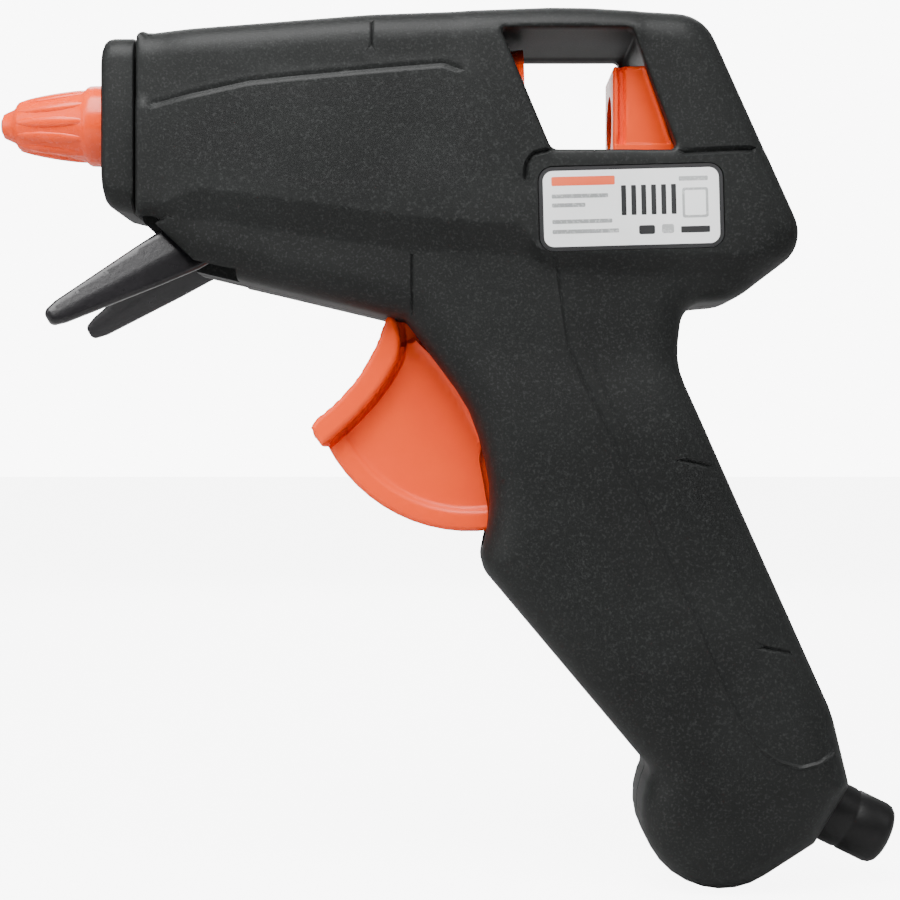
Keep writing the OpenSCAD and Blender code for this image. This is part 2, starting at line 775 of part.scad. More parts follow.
module heater_lead_front() {
    color(white)
        wire([[138.1, -5, -93.4], [134.3, -7, -85], [131, -12, -72], [126, -13, -50], [112, -13.2, -28],
              [86, -13.2, -21], [54, -12.2, -18.5], [chamber_x + 7.6, -11.6, -15],
              [chamber_x + 6.2, -5, -12.75]], 0.9);
}

module heater_lead_rear() {
    color([0.35, 0.36, 0.38])
        wire([[138.1, 5, -93.4], [134.3, 7, -85], [131, 12, -72], [126, 13, -50], [112, 13.2, -28],
              [86, 13.2, -21], [54, 12.2, -18.5], [chamber_x + 7.6, 11.6, -16.6],
              [chamber_x + 6.2, 5, -15.85]], 0.9);
}

module rating_label() {
    color(white) label_place(-body_half, label_sink - body_half);
}

casing_left();
casing_right();
casing_screws();
nose_collar();
nozzle_cap();
nozzle();
nozzle_ball();
nozzle_spring();
spring_retainer();
melt_chamber();
ptc_heater();
heater_electrodes();
heater_insulation();
heater_clip();
inlet_sleeve();
sleeve_clip();
stick_guide_ring();
trigger();
trigger_pin();
trigger_spring();
drive_pin();
carriage();
clamp_pawl();
pawl_pin();
stand();
stand_pin();
cable_boot();
cord_clamp();
cord_clamp_screws();
terminal_block();
terminal_screws();
heater_lead_front();
heater_lead_rear();
rating_label();
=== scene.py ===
# A trigger-fed hot glue gun: a charcoal casing in two halves round an orange nozzle, trigger and carriage.
import bpy
import bmesh
import math
import numpy as np
from mathutils import Vector, Matrix
from mathutils.geometry import delaunay_2d_cdt


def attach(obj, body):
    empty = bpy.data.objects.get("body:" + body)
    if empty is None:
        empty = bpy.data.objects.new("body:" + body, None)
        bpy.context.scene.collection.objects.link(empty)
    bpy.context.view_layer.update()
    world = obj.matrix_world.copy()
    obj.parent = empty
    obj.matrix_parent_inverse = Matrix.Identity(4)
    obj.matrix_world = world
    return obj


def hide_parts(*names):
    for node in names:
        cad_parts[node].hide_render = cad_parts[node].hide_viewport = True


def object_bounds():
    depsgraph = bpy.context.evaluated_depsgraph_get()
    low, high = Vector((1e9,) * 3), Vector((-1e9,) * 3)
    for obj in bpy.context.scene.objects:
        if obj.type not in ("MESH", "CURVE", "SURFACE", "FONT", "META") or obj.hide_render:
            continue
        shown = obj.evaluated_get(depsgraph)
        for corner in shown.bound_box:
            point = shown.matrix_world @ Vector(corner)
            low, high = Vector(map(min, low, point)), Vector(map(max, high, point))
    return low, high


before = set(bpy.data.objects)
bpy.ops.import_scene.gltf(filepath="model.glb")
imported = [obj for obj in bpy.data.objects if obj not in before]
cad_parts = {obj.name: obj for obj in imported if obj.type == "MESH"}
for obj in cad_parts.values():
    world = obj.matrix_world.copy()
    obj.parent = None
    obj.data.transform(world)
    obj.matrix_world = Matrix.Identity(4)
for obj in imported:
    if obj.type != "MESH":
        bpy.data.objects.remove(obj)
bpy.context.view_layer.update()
MM = 0.001


# ---- Melt chamber and heater -----------------------------------------------------------------------------
# A die-cast aluminium chamber with a flat pocket under it. Two black PTC stones lie in the pocket between
# brass contact plates, wrapped in amber film, and a spring steel clip presses the lot together.
def surface(name, base, light, rough, grain=0.6, bump=0.2, metal=0.0, painted_glint=0.0, coat=0.0, soft=0.0,
            stretch=1.0,
            specular=0.5):
    """A procedural finish. Broad noise drifts between two colours, fine noise is its grain, of a size in mm,
    and painted highlights, paler flecks in the base colour, stand where the grain would catch the light.
    Stretch draws the grain out along X."""
    mat = bpy.data.materials.new(name)
    mat.use_nodes = True
    nodes, links = mat.node_tree.nodes, mat.node_tree.links
    shader = nodes["Principled BSDF"]
    where, turn = nodes.new("ShaderNodeTexCoord"), nodes.new("ShaderNodeMapping")
    turn.inputs["Scale"].default_value = (1 / stretch, 1, 1)
    links.new(where.outputs["Object"], turn.inputs["Vector"])
    noise = {}
    for kind, scale, detail in (("broad", 45, 5), ("fine", 1000 / grain, 4), ("spots", 770 / grain, 3)):
        noise[kind] = nodes.new("ShaderNodeTexNoise")
        noise[kind].inputs["Scale"].default_value = scale
        noise[kind].inputs["Detail"].default_value = detail
        links.new(turn.outputs["Vector"], noise[kind].inputs["Vector"])
    tone = nodes.new("ShaderNodeValToRGB")
    tone.color_ramp.elements[0].position, tone.color_ramp.elements[1].position = 0.36, 0.66
    tone.color_ramp.elements[0].color, tone.color_ramp.elements[1].color = (*base, 1), (*light, 1)
    links.new(noise["broad"].outputs["Fac"], tone.inputs["Fac"])
    # Painted highlights: where the spots noise is high, the base colour is mixed towards a much paler
    # colour, which stands in for light caught by the grain.
    glint_share = nodes.new("ShaderNodeMapRange")
    glint_share.inputs["From Min"].default_value, glint_share.inputs["From Max"].default_value = 0.52, 0.74
    glint_share.inputs["To Max"].default_value = painted_glint
    links.new(noise["spots"].outputs["Fac"], glint_share.inputs["Value"])
    mix = nodes.new("ShaderNodeMix")
    mix.data_type = "RGBA"
    mix.inputs["B"].default_value = (*[min(1, c * 3 + 0.03) for c in light], 1)
    links.new(glint_share.outputs["Result"], mix.inputs["Factor"])
    links.new(tone.outputs["Color"], mix.inputs["A"])
    links.new(mix.outputs["Result"], shader.inputs["Base Color"])
    gloss = nodes.new("ShaderNodeMapRange")
    gloss.inputs["To Min"].default_value, gloss.inputs["To Max"].default_value = rough - 0.07, rough + 0.08
    links.new(noise["spots"].outputs["Fac"], gloss.inputs["Value"])
    links.new(gloss.outputs["Result"], shader.inputs["Roughness"])
    relief = nodes.new("ShaderNodeBump")
    relief.inputs["Strength"].default_value = bump
    relief.inputs["Distance"].default_value = grain * 0.15 * MM
    links.new(noise["fine"].outputs["Fac"], relief.inputs["Height"])
    links.new(relief.outputs["Normal"], shader.inputs["Normal"])
    shader.inputs["Metallic"].default_value = metal
    shader.inputs["Specular IOR Level"].default_value = specular
    shader.inputs["Coat Weight"].default_value = coat
    shader.inputs["Coat Roughness"].default_value = 0.1
    if soft:
        shader.inputs["Subsurface Weight"].default_value = soft
        shader.inputs["Subsurface Radius"].default_value = (0.004, 0.0012, 0.0006)
        shader.inputs["Subsurface Scale"].default_value = 0.5
    return mat


def dress(mat, *names):
    """Gives CAD nodes a material."""
    for name in names:
        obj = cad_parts[name]
        obj.data.materials.clear()
        obj.data.materials.append(mat)


cast_aluminium = surface("cast_aluminium", (0.50, 0.51, 0.52), (0.64, 0.65, 0.66), 0.42, 0.5, 0.5, metal=1)
spring_steel = surface("spring_steel", (0.42, 0.42, 0.43), (0.55, 0.55, 0.56), 0.28, 0.3, 0.2, metal=1,
                       stretch=4)
brass = surface("brass", (0.62, 0.42, 0.16), (0.74, 0.54, 0.25), 0.3, 0.3, 0.2, metal=1, stretch=3)
dress(cast_aluminium, "melt_chamber")
dress(surface("ptc_stone", (0.035, 0.033, 0.032), (0.06, 0.057, 0.055), 0.7, 0.25, 0.6, painted_glint=0.2),
      "ptc_heater")
dress(brass, "heater_electrodes")
dress(surface("amber_film", (0.42, 0.17, 0.02), (0.55, 0.26, 0.04), 0.2, 1.5, 0.15, coat=0.4),
      "heater_insulation")
dress(spring_steel, "heater_clip")


# ---- Nozzle ----------------------------------------------------------------------------------------------
# Turned from aluminium bar, screwed into the chamber, with a steel ball that a spring holds on its seat
# until the glue pushes it off. A brass ring pressed in behind keeps the spring.
dress(surface("turned_aluminium", (0.58, 0.59, 0.60), (0.70, 0.71, 0.72), 0.25, 0.25, 0.3, metal=1,
              stretch=0.2),
      "nozzle")
dress(surface("polished_steel", (0.55, 0.55, 0.56), (0.62, 0.62, 0.63), 0.12, 0.3, 0.05, metal=1),
      "nozzle_ball")
dress(spring_steel, "nozzle_spring")
dress(brass, "spring_retainer")


# ---- Nozzle cap ------------------------------------------------------------------------------------------
# Moulded silicone that keeps fingers off the hot nozzle. It is stretched over the nozzle and pinched in the
# nose collar, and has long shallow ribs up to a plain ring at the collar.
def solid(name, verts, faces):
    """A mesh object from points in mm."""
    mesh = bpy.data.meshes.new(name)
    mesh.from_pydata([tuple(c * MM for c in v) for v in verts], [], faces)
    mesh.validate()
    obj = bpy.data.objects.new(name, mesh)
    bpy.context.scene.collection.objects.link(obj)
    return obj


def clean(obj, angle=35):
    """Points the faces outwards and smooths all but the sharp edges."""
    bm = bmesh.new()
    bm.from_mesh(obj.data)
    bmesh.ops.recalc_face_normals(bm, faces=bm.faces)
    bm.to_mesh(obj.data)
    bm.free()
    for p in obj.data.polygons:
        p.use_smooth = True
    obj.data.set_sharp_from_angle(angle=math.radians(angle))
    return obj


def turned(name, profile, sides=72, place=Matrix()):
    """A closed ring turned about X from a closed profile of (x, radius) points, then put in its place."""
    n = len(profile)
    verts = [tuple(place @ Vector((x, r * math.cos(a), r * math.sin(a))))
             for a in (2 * math.pi * k / sides for k in range(sides)) for x, r in profile]
    faces = [(k * n + i, k * n + (i + 1) % n, (k + 1) % sides * n + (i + 1) % n, (k + 1) % sides * n + i)
             for k in range(sides) for i in range(n)]
    return clean(solid(name, verts, faces))


def bake(obj):
    """Turns the object with its modifiers into a plain mesh."""
    graph = bpy.context.evaluated_depsgraph_get()
    mesh = bpy.data.meshes.new_from_object(obj.evaluated_get(graph), depsgraph=graph)
    obj.modifiers.clear()
    obj.data = mesh
    return obj


def join(name, *objs):
    """Puts the meshes of several objects into the first one."""
    bm = bmesh.new()
    for obj in objs:
        bm.from_mesh(obj.data)
    mesh = bpy.data.meshes.new(name)
    bm.to_mesh(mesh)
    bm.free()
    for mat in objs[0].data.materials:
        mesh.materials.append(mat)
    objs[0].data, objs[0].name = mesh, name
    for obj in objs[1:]:
        bpy.data.objects.remove(obj)
    return clean(objs[0])


def geometry_tree(name, inputs):
    """A Geometry Nodes tree with named inputs. Gives the tree, its input node and its output node."""
    tree = bpy.data.node_groups.new(name, "GeometryNodeTree")
    tree.interface.new_socket("Geometry", in_out="INPUT", socket_type="NodeSocketGeometry")
    for label, kind in inputs.items():
        tree.interface.new_socket(label, in_out="INPUT", socket_type="NodeSocket" + kind)
    tree.interface.new_socket("Geometry", in_out="OUTPUT", socket_type="NodeSocketGeometry")
    return tree, tree.nodes.new("NodeGroupInput"), tree.nodes.new("NodeGroupOutput")


def grow(obj, tree, values):
    """Runs the tree on the object with the given inputs and keeps the result as a plain mesh."""
    m = obj.modifiers.new(tree.name, "NODES")
    m.node_group = tree
    for item in tree.interface.items_tree:
        if item.in_out == "INPUT" and item.name in values:
            m[item.identifier] = values[item.name]
    return bake(obj)


silicone = surface("orange_silicone", (0.84, 0.050, 0.0004), (0.92, 0.065, 0.001), 0.26, 1.2, 0.12,
                   coat=0.15,
                   specular=0.3)
cap_back = 31.5
cap_radius = 8.4
cap = turned("nozzle_cap_sleeve", [
    (0.35, 2.1), (0.45, 2.5), (0.9, 2.75), (2.6, 3.5), (3.1, 4.0), (3.5, 4.7), (4.1, 5.15), (5.0, 5.4),
    (17.0, 7.35),
    (17.8, 7.6), (18.3, 8.1), (18.8, 8.33), (20, cap_radius), (cap_back, cap_radius), (cap_back, 6.8),
    (22, 6.25),
    (3.9, 3.15), (0.6, 2.06)])
tree, given, result = geometry_tree("cap_ribs", {"Count": "Int", "Length": "Float", "Width": "Float",
                                                 "Height": "Float", "Radius": "Float", "Slope": "Float",
                                                 "Middle": "Float", "Material": "Material"})
nodes, links = tree.nodes, tree.links
rib = nodes.new("GeometryNodeMeshUVSphere")
rib.inputs["Segments"].default_value, rib.inputs["Rings"].default_value = 16, 24
rib.inputs["Radius"].default_value = 0.5
size = nodes.new("ShaderNodeCombineXYZ")
for axis, label in zip("XYZ", ("Length", "Width", "Height")):
    links.new(given.outputs[label], size.inputs[axis])
lie = nodes.new("ShaderNodeCombineXYZ")
links.new(given.outputs["Slope"], lie.inputs["Y"])
spot = nodes.new("ShaderNodeCombineXYZ")
links.new(given.outputs["Middle"], spot.inputs["X"])
links.new(given.outputs["Radius"], spot.inputs["Z"])
shape = nodes.new("GeometryNodeTransform")
for a, b in ((rib.outputs["Mesh"], "Geometry"), (size.outputs["Vector"], "Scale"),
             (lie.outputs["Vector"], "Rotation"),
             (spot.outputs["Vector"], "Translation")):
    links.new(a, shape.inputs[b])
seats = nodes.new("GeometryNodeMeshLine")
seats.inputs["Offset"].default_value = (0, 0, 0)
links.new(given.outputs["Count"], seats.inputs["Count"])
step = nodes.new("ShaderNodeMath")
step.operation = "DIVIDE"
step.inputs[0].default_value = 2 * math.pi
links.new(given.outputs["Count"], step.inputs[1])
angle = nodes.new("ShaderNodeMath")
angle.operation = "MULTIPLY"
links.new(nodes.new("GeometryNodeInputIndex").outputs[0], angle.inputs[0])
links.new(step.outputs[0], angle.inputs[1])
spin = nodes.new("ShaderNodeCombineXYZ")
links.new(angle.outputs[0], spin.inputs["X"])
copies = nodes.new("GeometryNodeInstanceOnPoints")
links.new(seats.outputs["Mesh"], copies.inputs["Points"])
links.new(shape.outputs["Geometry"], copies.inputs["Instance"])
links.new(spin.outputs["Vector"], copies.inputs["Rotation"])
real, paint = nodes.new("GeometryNodeRealizeInstances"), nodes.new("GeometryNodeSetMaterial")
links.new(copies.outputs["Instances"], real.inputs["Geometry"])
links.new(real.outputs["Geometry"], paint.inputs["Geometry"])
links.new(given.outputs["Material"], paint.inputs["Material"])
links.new(paint.outputs["Geometry"], result.inputs["Geometry"])
ribs = grow(solid("nozzle_cap_ribs", [(0, 0, 0)], []), tree, {
    "Count": 12, "Length": 15 * MM, "Width": 2.4 * MM, "Height": 1.3 * MM, "Radius": 6.25 * MM,
    "Slope": -math.radians(9.3), "Middle": 11.2 * MM, "Material": silicone})
cap.data.materials.append(silicone)
cap = join("nozzle_cap_moulding", cap, ribs)
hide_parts("nozzle_cap")
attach(cap, "casing")


# ---- Inlet sleeve ----------------------------------------------------------------------------------------
# A soft silicone funnel pushed over the chamber's back end and held by a steel clip. The stick goes in
# through it.
dress(silicone, "inlet_sleeve")
dress(spring_steel, "sleeve_clip")


# ---- Feed carriage ---------------------------------------------------------------------------------------
# Moulded in orange nylon, it slides on rails in both halves. Its two cheeks carry a stamped steel pawl on a
# pin, which bites the stick, and the fork under it takes the trigger's drive pin.
def rounded(corners, step):
    """Points [x, z] round a closed outline of corners (x, z, radius)."""
    points = []
    for i, (x, z, r) in enumerate(corners):
        p, a, b = Vector((x, z)), Vector(corners[i - 1][:2]), Vector(corners[(i + 1) % len(corners)][:2])
        u, v = (p - a).normalized(), (b - p).normalized()
        turn = math.atan2(u.x * v.y - u.y * v.x, u.dot(v))
        start = p - u * r * math.tan(abs(turn) / 2)
        centre = start + Vector((-u.y, u.x)) * math.copysign(r, turn)
        pieces = max(1, math.ceil(abs(turn) / 0.22))
        for k in range(pieces + 1):
            t = turn * k / pieces
            d = start - centre
            points.append((centre.x + d.x * math.cos(t) - d.y * math.sin(t),
                           centre.y + d.x * math.sin(t) + d.y * math.cos(t)))
    dense = []
    for i, p in enumerate(points):
        q = points[(i + 1) % len(points)]
        n = max(1, round(math.dist(p, q) / step))
        if math.dist(p, q) > 0.02:
            dense += [(p[0] + (q[0] - p[0]) * k / n, p[1] + (q[1] - p[1]) * k / n) for k in range(n)]
    return np.array(dense)


def distance(points, a, b):
    """Distance from each point to the nearest of the segments a-b."""
    best = np.full(len(points), 1e9)
    for p, q in zip(a, b):
        d = q - p
        t = np.clip(((points - p) @ d) / (d @ d), 0, 1)
        best = np.minimum(best, np.hypot(*(points - p - t[:, None] * d).T))
    return best


def inside(points, loop):
    x, z = points[:, 0], points[:, 1]
    odd = np.zeros(len(points), bool)
    for (x1, z1), (x2, z2) in zip(loop, np.roll(loop, -1, 0)):
        if z1 != z2:
            odd ^= ((z1 > z) != (z2 > z)) & (x < (x2 - x1) * (z - z1) / (z2 - z1) + x1)
    return odd


def smooth(t):
    t = np.clip(t, 0, 1)
    return t * t * (3 - 2 * t)


def fillet(h, gap, r):
    gap = np.minimum(gap, r)
    return np.minimum(h, h - r + np.sqrt(np.maximum(r * r - (r - gap) ** 2, 0)))


def beside(line, gaps, step, closed):
    """Points beside a line, at each of the gaps, about one step apart."""
    line = np.array(line, float)
    a, b = (line, np.roll(line, -1, 0)) if closed else (line[:-1], line[1:])
    out = []
    for p, q in zip(a, b):
        n = max(1, round(np.hypot(*(q - p)) / step))
        normal = np.array([-(q - p)[1], (q - p)[0]]) / np.hypot(*(q - p))
        for k in range(n):
            out += [p + (q - p) * (k + 0.5) / n + normal * g for g in gaps]
    return np.array(out)


def cut(obj, tools):
    """Cuts the tools out of the object and removes them."""
    for tool in tools:
        m = obj.modifiers.new("cut", "BOOLEAN")
        m.operation, m.solver, m.object = "DIFFERENCE", "EXACT", tool
        bake(obj)
        bpy.data.objects.remove(tool)
    return obj


def prism(points, y0, y1):
    """A closed plate of the outline [x, z] between two planes across Y."""
    n = len(points)
    verts = [(x, y0, z) for x, z in points] + [(x, y1, z) for x, z in points]
    faces = [list(range(n)), list(range(2 * n - 1, n - 1, -1))]
    faces += [(i, i + n, (i + 1) % n + n, (i + 1) % n) for i in range(n)]
    return clean(solid("tool", verts, faces))


def round_bar(p, q, r, sides=40):
    """A closed cylinder from p to q."""
    p, q = Vector(p), Vector(q)
    turn = (q - p).to_track_quat("Z", "Y").to_matrix()
    ring = [turn @ Vector((r * math.cos(2 * math.pi * k / sides), r * math.sin(2 * math.pi * k / sides), 0))
            for k in range(sides)]
    verts = [tuple(p + c) for c in ring] + [tuple(q + c) for c in ring]
    faces = [list(range(sides)), list(range(2 * sides - 1, sides - 1, -1))]
    faces += [(k, k + sides, (k + 1) % sides + sides, (k + 1) % sides) for k in range(sides)]
    return clean(solid("tool", verts, faces))


def dome(name, loops, rows, scatter, height, side, foot=(0, 0)):
    """A closed body over the first loop less the others, from the plane of foot out to the height at [x, z].
    Its mesh has edges along the rows. Its rim is a wall to foot[0], then a broken edge 0.25 mm wide to
    foot[1]. With side 0 it has both faces."""
    loops = [loop.astype(np.float32).astype(float) for loop in loops]

    def kept(points):
        ok = inside(points, loops[0])
        for n, loop in enumerate(loops):
            if n:
                ok &= ~inside(points, loop)
            ok &= distance(points, loop, np.roll(loop, -1, 0)) > 0.12
        return ok

    scatter = scatter[kept(scatter)].astype(np.float32).astype(float)
    _, first = np.unique(np.round(scatter / 0.25), axis=0, return_index=True)
    scatter = scatter[np.sort(first)]
    edges, start = [], 0
    for loop in loops:
        edges += [(start + i, start + (i + 1) % len(loop)) for i in range(len(loop))]
        start += len(loop)

    def flat(points, edges):
        xz, _, tris, origin = delaunay_2d_cdt([Vector(p) for p in points], edges, [], 0, 1e-9)[:4]
        xz = np.array([tuple(v) for v in xz])
        middle = np.array([xz[list(f)].mean(0) for f in tris])
        ok = inside(middle, loops[0])
        for loop in loops[1:]:
            ok &= ~inside(middle, loop)
        return xz, [tuple(f) for f, k in zip(tris, ok) if k], origin

    rim = np.vstack(loops)
    points, bonds = [rim], list(edges)
    for row in rows:
        row = row.astype(np.float32).astype(float)
        ok = kept(row)
        start = sum(len(p) for p in points)
        close = np.hypot(*np.diff(row, axis=0).T) < 3
        bonds += [(start + i, start + i + 1) for i in range(len(row) - 1) if ok[i] and ok[i + 1]
                  and close[i]]
        row[~ok] = scatter[0]
        points.append(row)
    near_row = np.vstack(points[1:]) if rows else rim[:0]
    if len(near_row):
        gap = np.full(len(scatter), 9.0)
        for i in range(0, len(scatter), 400):
            part = scatter[i:i + 400]
            gap[i:i + 400] = np.hypot(part[:, None, 0] - near_row[None, :, 0],
                                      part[:, None, 1] - near_row[None, :, 1]).min(1)
        scatter = np.vstack([scatter[:1], scatter[1:][gap[1:] > 0.2]])
    xz, faces, _ = flat(np.vstack([*points, scatter]), bonds)
    high = height(xz)
    uses = {}
    for f in faces:
        for a, b in zip(f, f[1:] + f[:1]):
            uses.setdefault(frozenset((a, b)), []).append((a, b))
    border = [e[0] for e in uses.values() if len(e) == 1]
    if side == 0:
        n = len(xz)
        verts = [(x, -h, z) for (x, z), h in zip(xz, high)] + [(x, h, z) for (x, z), h in zip(xz, high)]
        faces += [tuple(n + i for i in f[::-1]) for f in faces]
        faces += [(b, a, a + n, b + n) for a, b in border]
        return clean(solid(name, verts, faces), 40)
    verts = [(x, side * h, z) for (x, z), h in zip(xz, high)]
    inward = {}
    for a, b in border:
        d = xz[b] - xz[a]
        for i in (a, b):
            inward[i] = inward.get(i, np.zeros(2)) + np.array([-d[1], d[0]]) / np.hypot(*d)
    wall = {}
    for i, n in inward.items():
        n = n / max(np.hypot(*n), 1e-6) * 0.25 * (foot[0] != foot[1])
        wall[i] = (len(verts), len(verts) + 1)
        verts += [(xz[i][0], side * foot[0], xz[i][1]), (xz[i][0] + n[0], side * foot[1], xz[i][1] + n[1])]
    for a, b in border:
        faces.append((b, a, wall[a][0], wall[b][0]))
        if foot[0] != foot[1]:
            faces.append((wall[b][0], wall[a][0], wall[a][1], wall[b][1]))
    last = 1 if foot[0] != foot[1] else 0
    _, base, origin = flat(rim, edges)
    faces += [tuple(wall[origin[i][0]][last] for i in f) for f in base]
    return clean(solid(name, verts, faces), 40)


def rows_beside(line, gaps, step, closed):
    """Rows of points at the gaps on both sides of a line."""
    return [beside(line, [g], step, closed) for gap in gaps for g in ((gap, -gap) if gap else (0,))]


def grid(x0, x1, z0, z1, step):
    gx, gz = np.meshgrid(np.arange(x0, x1, step), np.arange(z0, z1, step))
    return np.column_stack([gx.ravel(), gz.ravel()])


orange = surface("orange_plastic", (0.86, 0.055, 0.0008), (0.94, 0.07, 0.0015), 0.38, 0.9, 0.12, coat=0.06,
                 soft=0.03, specular=0.3)
carriage_x = 127.3
block_line = rounded([(carriage_x, 10.8, 0.8), (carriage_x + 7.3, 10.8, 1.2),
                      (carriage_x + 13.0, -5.6, 1.6),
                      (carriage_x + 13.0, -14.6, 1.0), (carriage_x, -14.6, 0.6)], 0.9)


def block_height(points):
    x, z = points[:, 0], points[:, 1]
    back = carriage_x + 7.3 + (10.8 - z) * 0.348
    h = 10.3 - 0.5 * ((x - carriage_x - 4) / 8) ** 2
    crescent = carriage_x + 1.1 + 0.8 * np.cos((z - 2) / 13 * 1.5)
    h -= 1.7 * smooth(1.8 - np.abs(x - crescent) / 0.5)
    h += 0.45 * smooth(1 - np.abs(back - 1.1 - x) / 0.7)
    h = np.where(z < -5.2, np.maximum(h, 10.4), h)
    return fillet(h, distance(points, block_line, np.roll(block_line, -1, 0)), 0.9)


block = dome("carriage_moulding", [block_line], rows_beside(block_line, (0.15, 0.45, 0.9), 0.7, True),
             grid(carriage_x, carriage_x + 14, -15, 12, 0.3), block_height, 0)
x = carriage_x
cut(block, [prism([(x + 2, 16), (x + 9, 16), (x + 16, -9.8), (x + 16, -12), (x + 2, -12)], -8, 8),
            round_bar((x - 5, 0, 0), (x + 20, 0, 0), 6.2, 48)])
runners = prism([(x, -12.4), (x + 11, -12.4), (x + 11, -10.6), (x, -10.6)], -12.8, 12.8)
drive_x = 110.36
bar = prism([(drive_x + 5.6, -20.6), (x + 8, -20.6), (x + 8, -13.4), (drive_x + 5.6, -13.4)], -6.4, 6.4)
forks = []
for y in (-6.4, 3.4):
    plate = prism([(drive_x - 4.6, -22.6), (drive_x + 6, -22.6), (drive_x + 6, -12.4),
                   (drive_x - 4.6, -12.4)], y, y + 3)
    forks.append(cut(plate, [prism([(drive_x - 1.6, -20.5), (drive_x + 1.6, -20.5), (drive_x + 1.6, -15.2),
                                    (drive_x - 1.6, -15.2)], y - 1, y + 4)]))
carriage = join("carriage_moulding", block, runners, bar, *forks)
carriage.data.materials.append(orange)
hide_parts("carriage")
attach(carriage, "carriage")
dress(spring_steel, "clamp_pawl")
pin_steel = surface("pin_steel", (0.46, 0.46, 0.47), (0.56, 0.56, 0.57), 0.22, 0.3, 0.15, metal=1)
dress(pin_steel, "pawl_pin", "drive_pin")


# ---- Trigger ---------------------------------------------------------------------------------------------
# One moulding in orange nylon: a curved finger pad, a dished web with a raised rim along its round lower
# edge, and an arm up to the drive pin. It turns on a steel pin against a wound spring.
rim_centre, rim_radius = (97.9, -51.5), 33.3
PAD_HALF, RIM_HALF, WEB_HALF, ARM_HALF = 9.0, 5.5, 4.4, 3.0


def rim_arc(r, start, stop, corner):
    return [(rim_centre[0] + r * math.cos(math.radians(t)), rim_centre[1] + r * math.sin(math.radians(t)),
             corner)
            for t in np.linspace(start, stop, 13)]


def bend(a, b, c, r=0):
    """Points along the curve from a to c that b pulls on, with corner radius r."""
    return [(*((1 - t) ** 2 * np.array(a) + 2 * t * (1 - t) * np.array(b) + t * t * np.array(c)), r)
            for t in np.linspace(0, 1, 12)]


pad_front = [(81.2, -40.4, 0.6), *bend((80.5, -41.2), (77.0, -53.5), (66.6, -61.3)), (65.2, -63.2, 0.8),
             (66.1, -65.4, 1),
             (67.5, -67.3, 0.4)]
pad_back = [*bend((67.9, -67.0), (79.45, -57.4), (83.3, -48.8)), (83.7, -45.4, 3), (83.2, -42.2, 2),
            (82.2, -40.2, 0.6)]
trigger_line = rounded([*pad_front, *rim_arc(rim_radius, 207.8, 279, 0.8), (104.6, -82.6, 1),
                        (106.5, -72, 3), (109, -60, 6),
                        (109.4, -50.0, 5), (107.4, -45.2, 1), (112.6, -20.4, 2), (112.8, -16.2, 2),
                        (109.4, -15.2, 2),
                        (107.2, -18.6, 2), (102.5, -42.1, 2), (93, -42.4, 2), (87.6, -40.4, 0.8),
                        (82.6, -40.2, 0.4)], 0.9)
pad_line = rounded([*pad_front, *pad_back], 0.9)
web_back = [(86.6, -44.9), (91.8, -50.1), (96.7, -57.2), (100.7, -65.2), (100.0, -69.9), (100.9, -74.5),
            (101.8, -80.0),
            (101.9, -86.0)]


def trigger_height(points):
    x, z = points[:, 0], points[:, 1]
    radius = np.hypot(x - rim_centre[0], z - rim_centre[1])
    web_end = distance(points, np.array(web_back[:-1]), np.array(web_back[1:]))
    in_web = x < np.interp(-z, [-p[1] for p in web_back], [p[0] for p in web_back])
    dish = 1.1 * smooth((rim_radius - 5 - radius) / 6) * smooth(web_end / 8)
    web = WEB_HALF - dish + (RIM_HALF - WEB_HALF) * smooth((radius - rim_radius + 5.4) / 1.9)
    web = np.maximum(web, WEB_HALF + 0.55 * smooth(1 - (web_end - 0.2) / 0.9) * (z > -66.5))
    back = np.array([p[:2] for p in pad_back])
    web -= 1.9 * smooth((1.3 - distance(points, back[:-1], back[1:])) / 0.6)
    web -= 2.2 * smooth((z + 46.6 - 0.42 * (x - 83.2)) / 0.7)
    h = np.where(in_web, web, np.where(z > -46, 2.2, ARM_HALF))
    h = fillet(h, distance(points, trigger_line, np.roll(trigger_line, -1, 0)), 1.0)
    in_pad = inside(points, pad_line)
    pad = fillet(np.full(len(points), PAD_HALF), distance(points, pad_line, np.roll(pad_line, -1, 0)), 1.1)
    return np.where(in_pad, pad, h)


rows = [*rows_beside(trigger_line, (0.15, 0.5, 1.0), 0.9, True),
        *rows_beside(pad_line, (0.07, 0.35, 0.8, 1.3), 0.7, True),
        *rows_beside(web_back, (0.07, 0.6, 1.1), 0.7, False),
        *[np.array([p[:2] for p in rounded([(*q[:2], 0) for q in rim_arc(rim_radius - d, 207.8, 279, 0)],
                                           1.2)])
          for d in (3.5, 4.0, 4.4, 4.9, 5.4)]]
trigger = dome("trigger_moulding", [trigger_line], rows, grid(64, 113, -86, -15, 1.3), trigger_height, 0)
trigger.data.materials.append(orange)
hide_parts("trigger")
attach(trigger, "trigger")
dress(pin_steel, "trigger_pin")
dress(spring_steel, "trigger_spring")
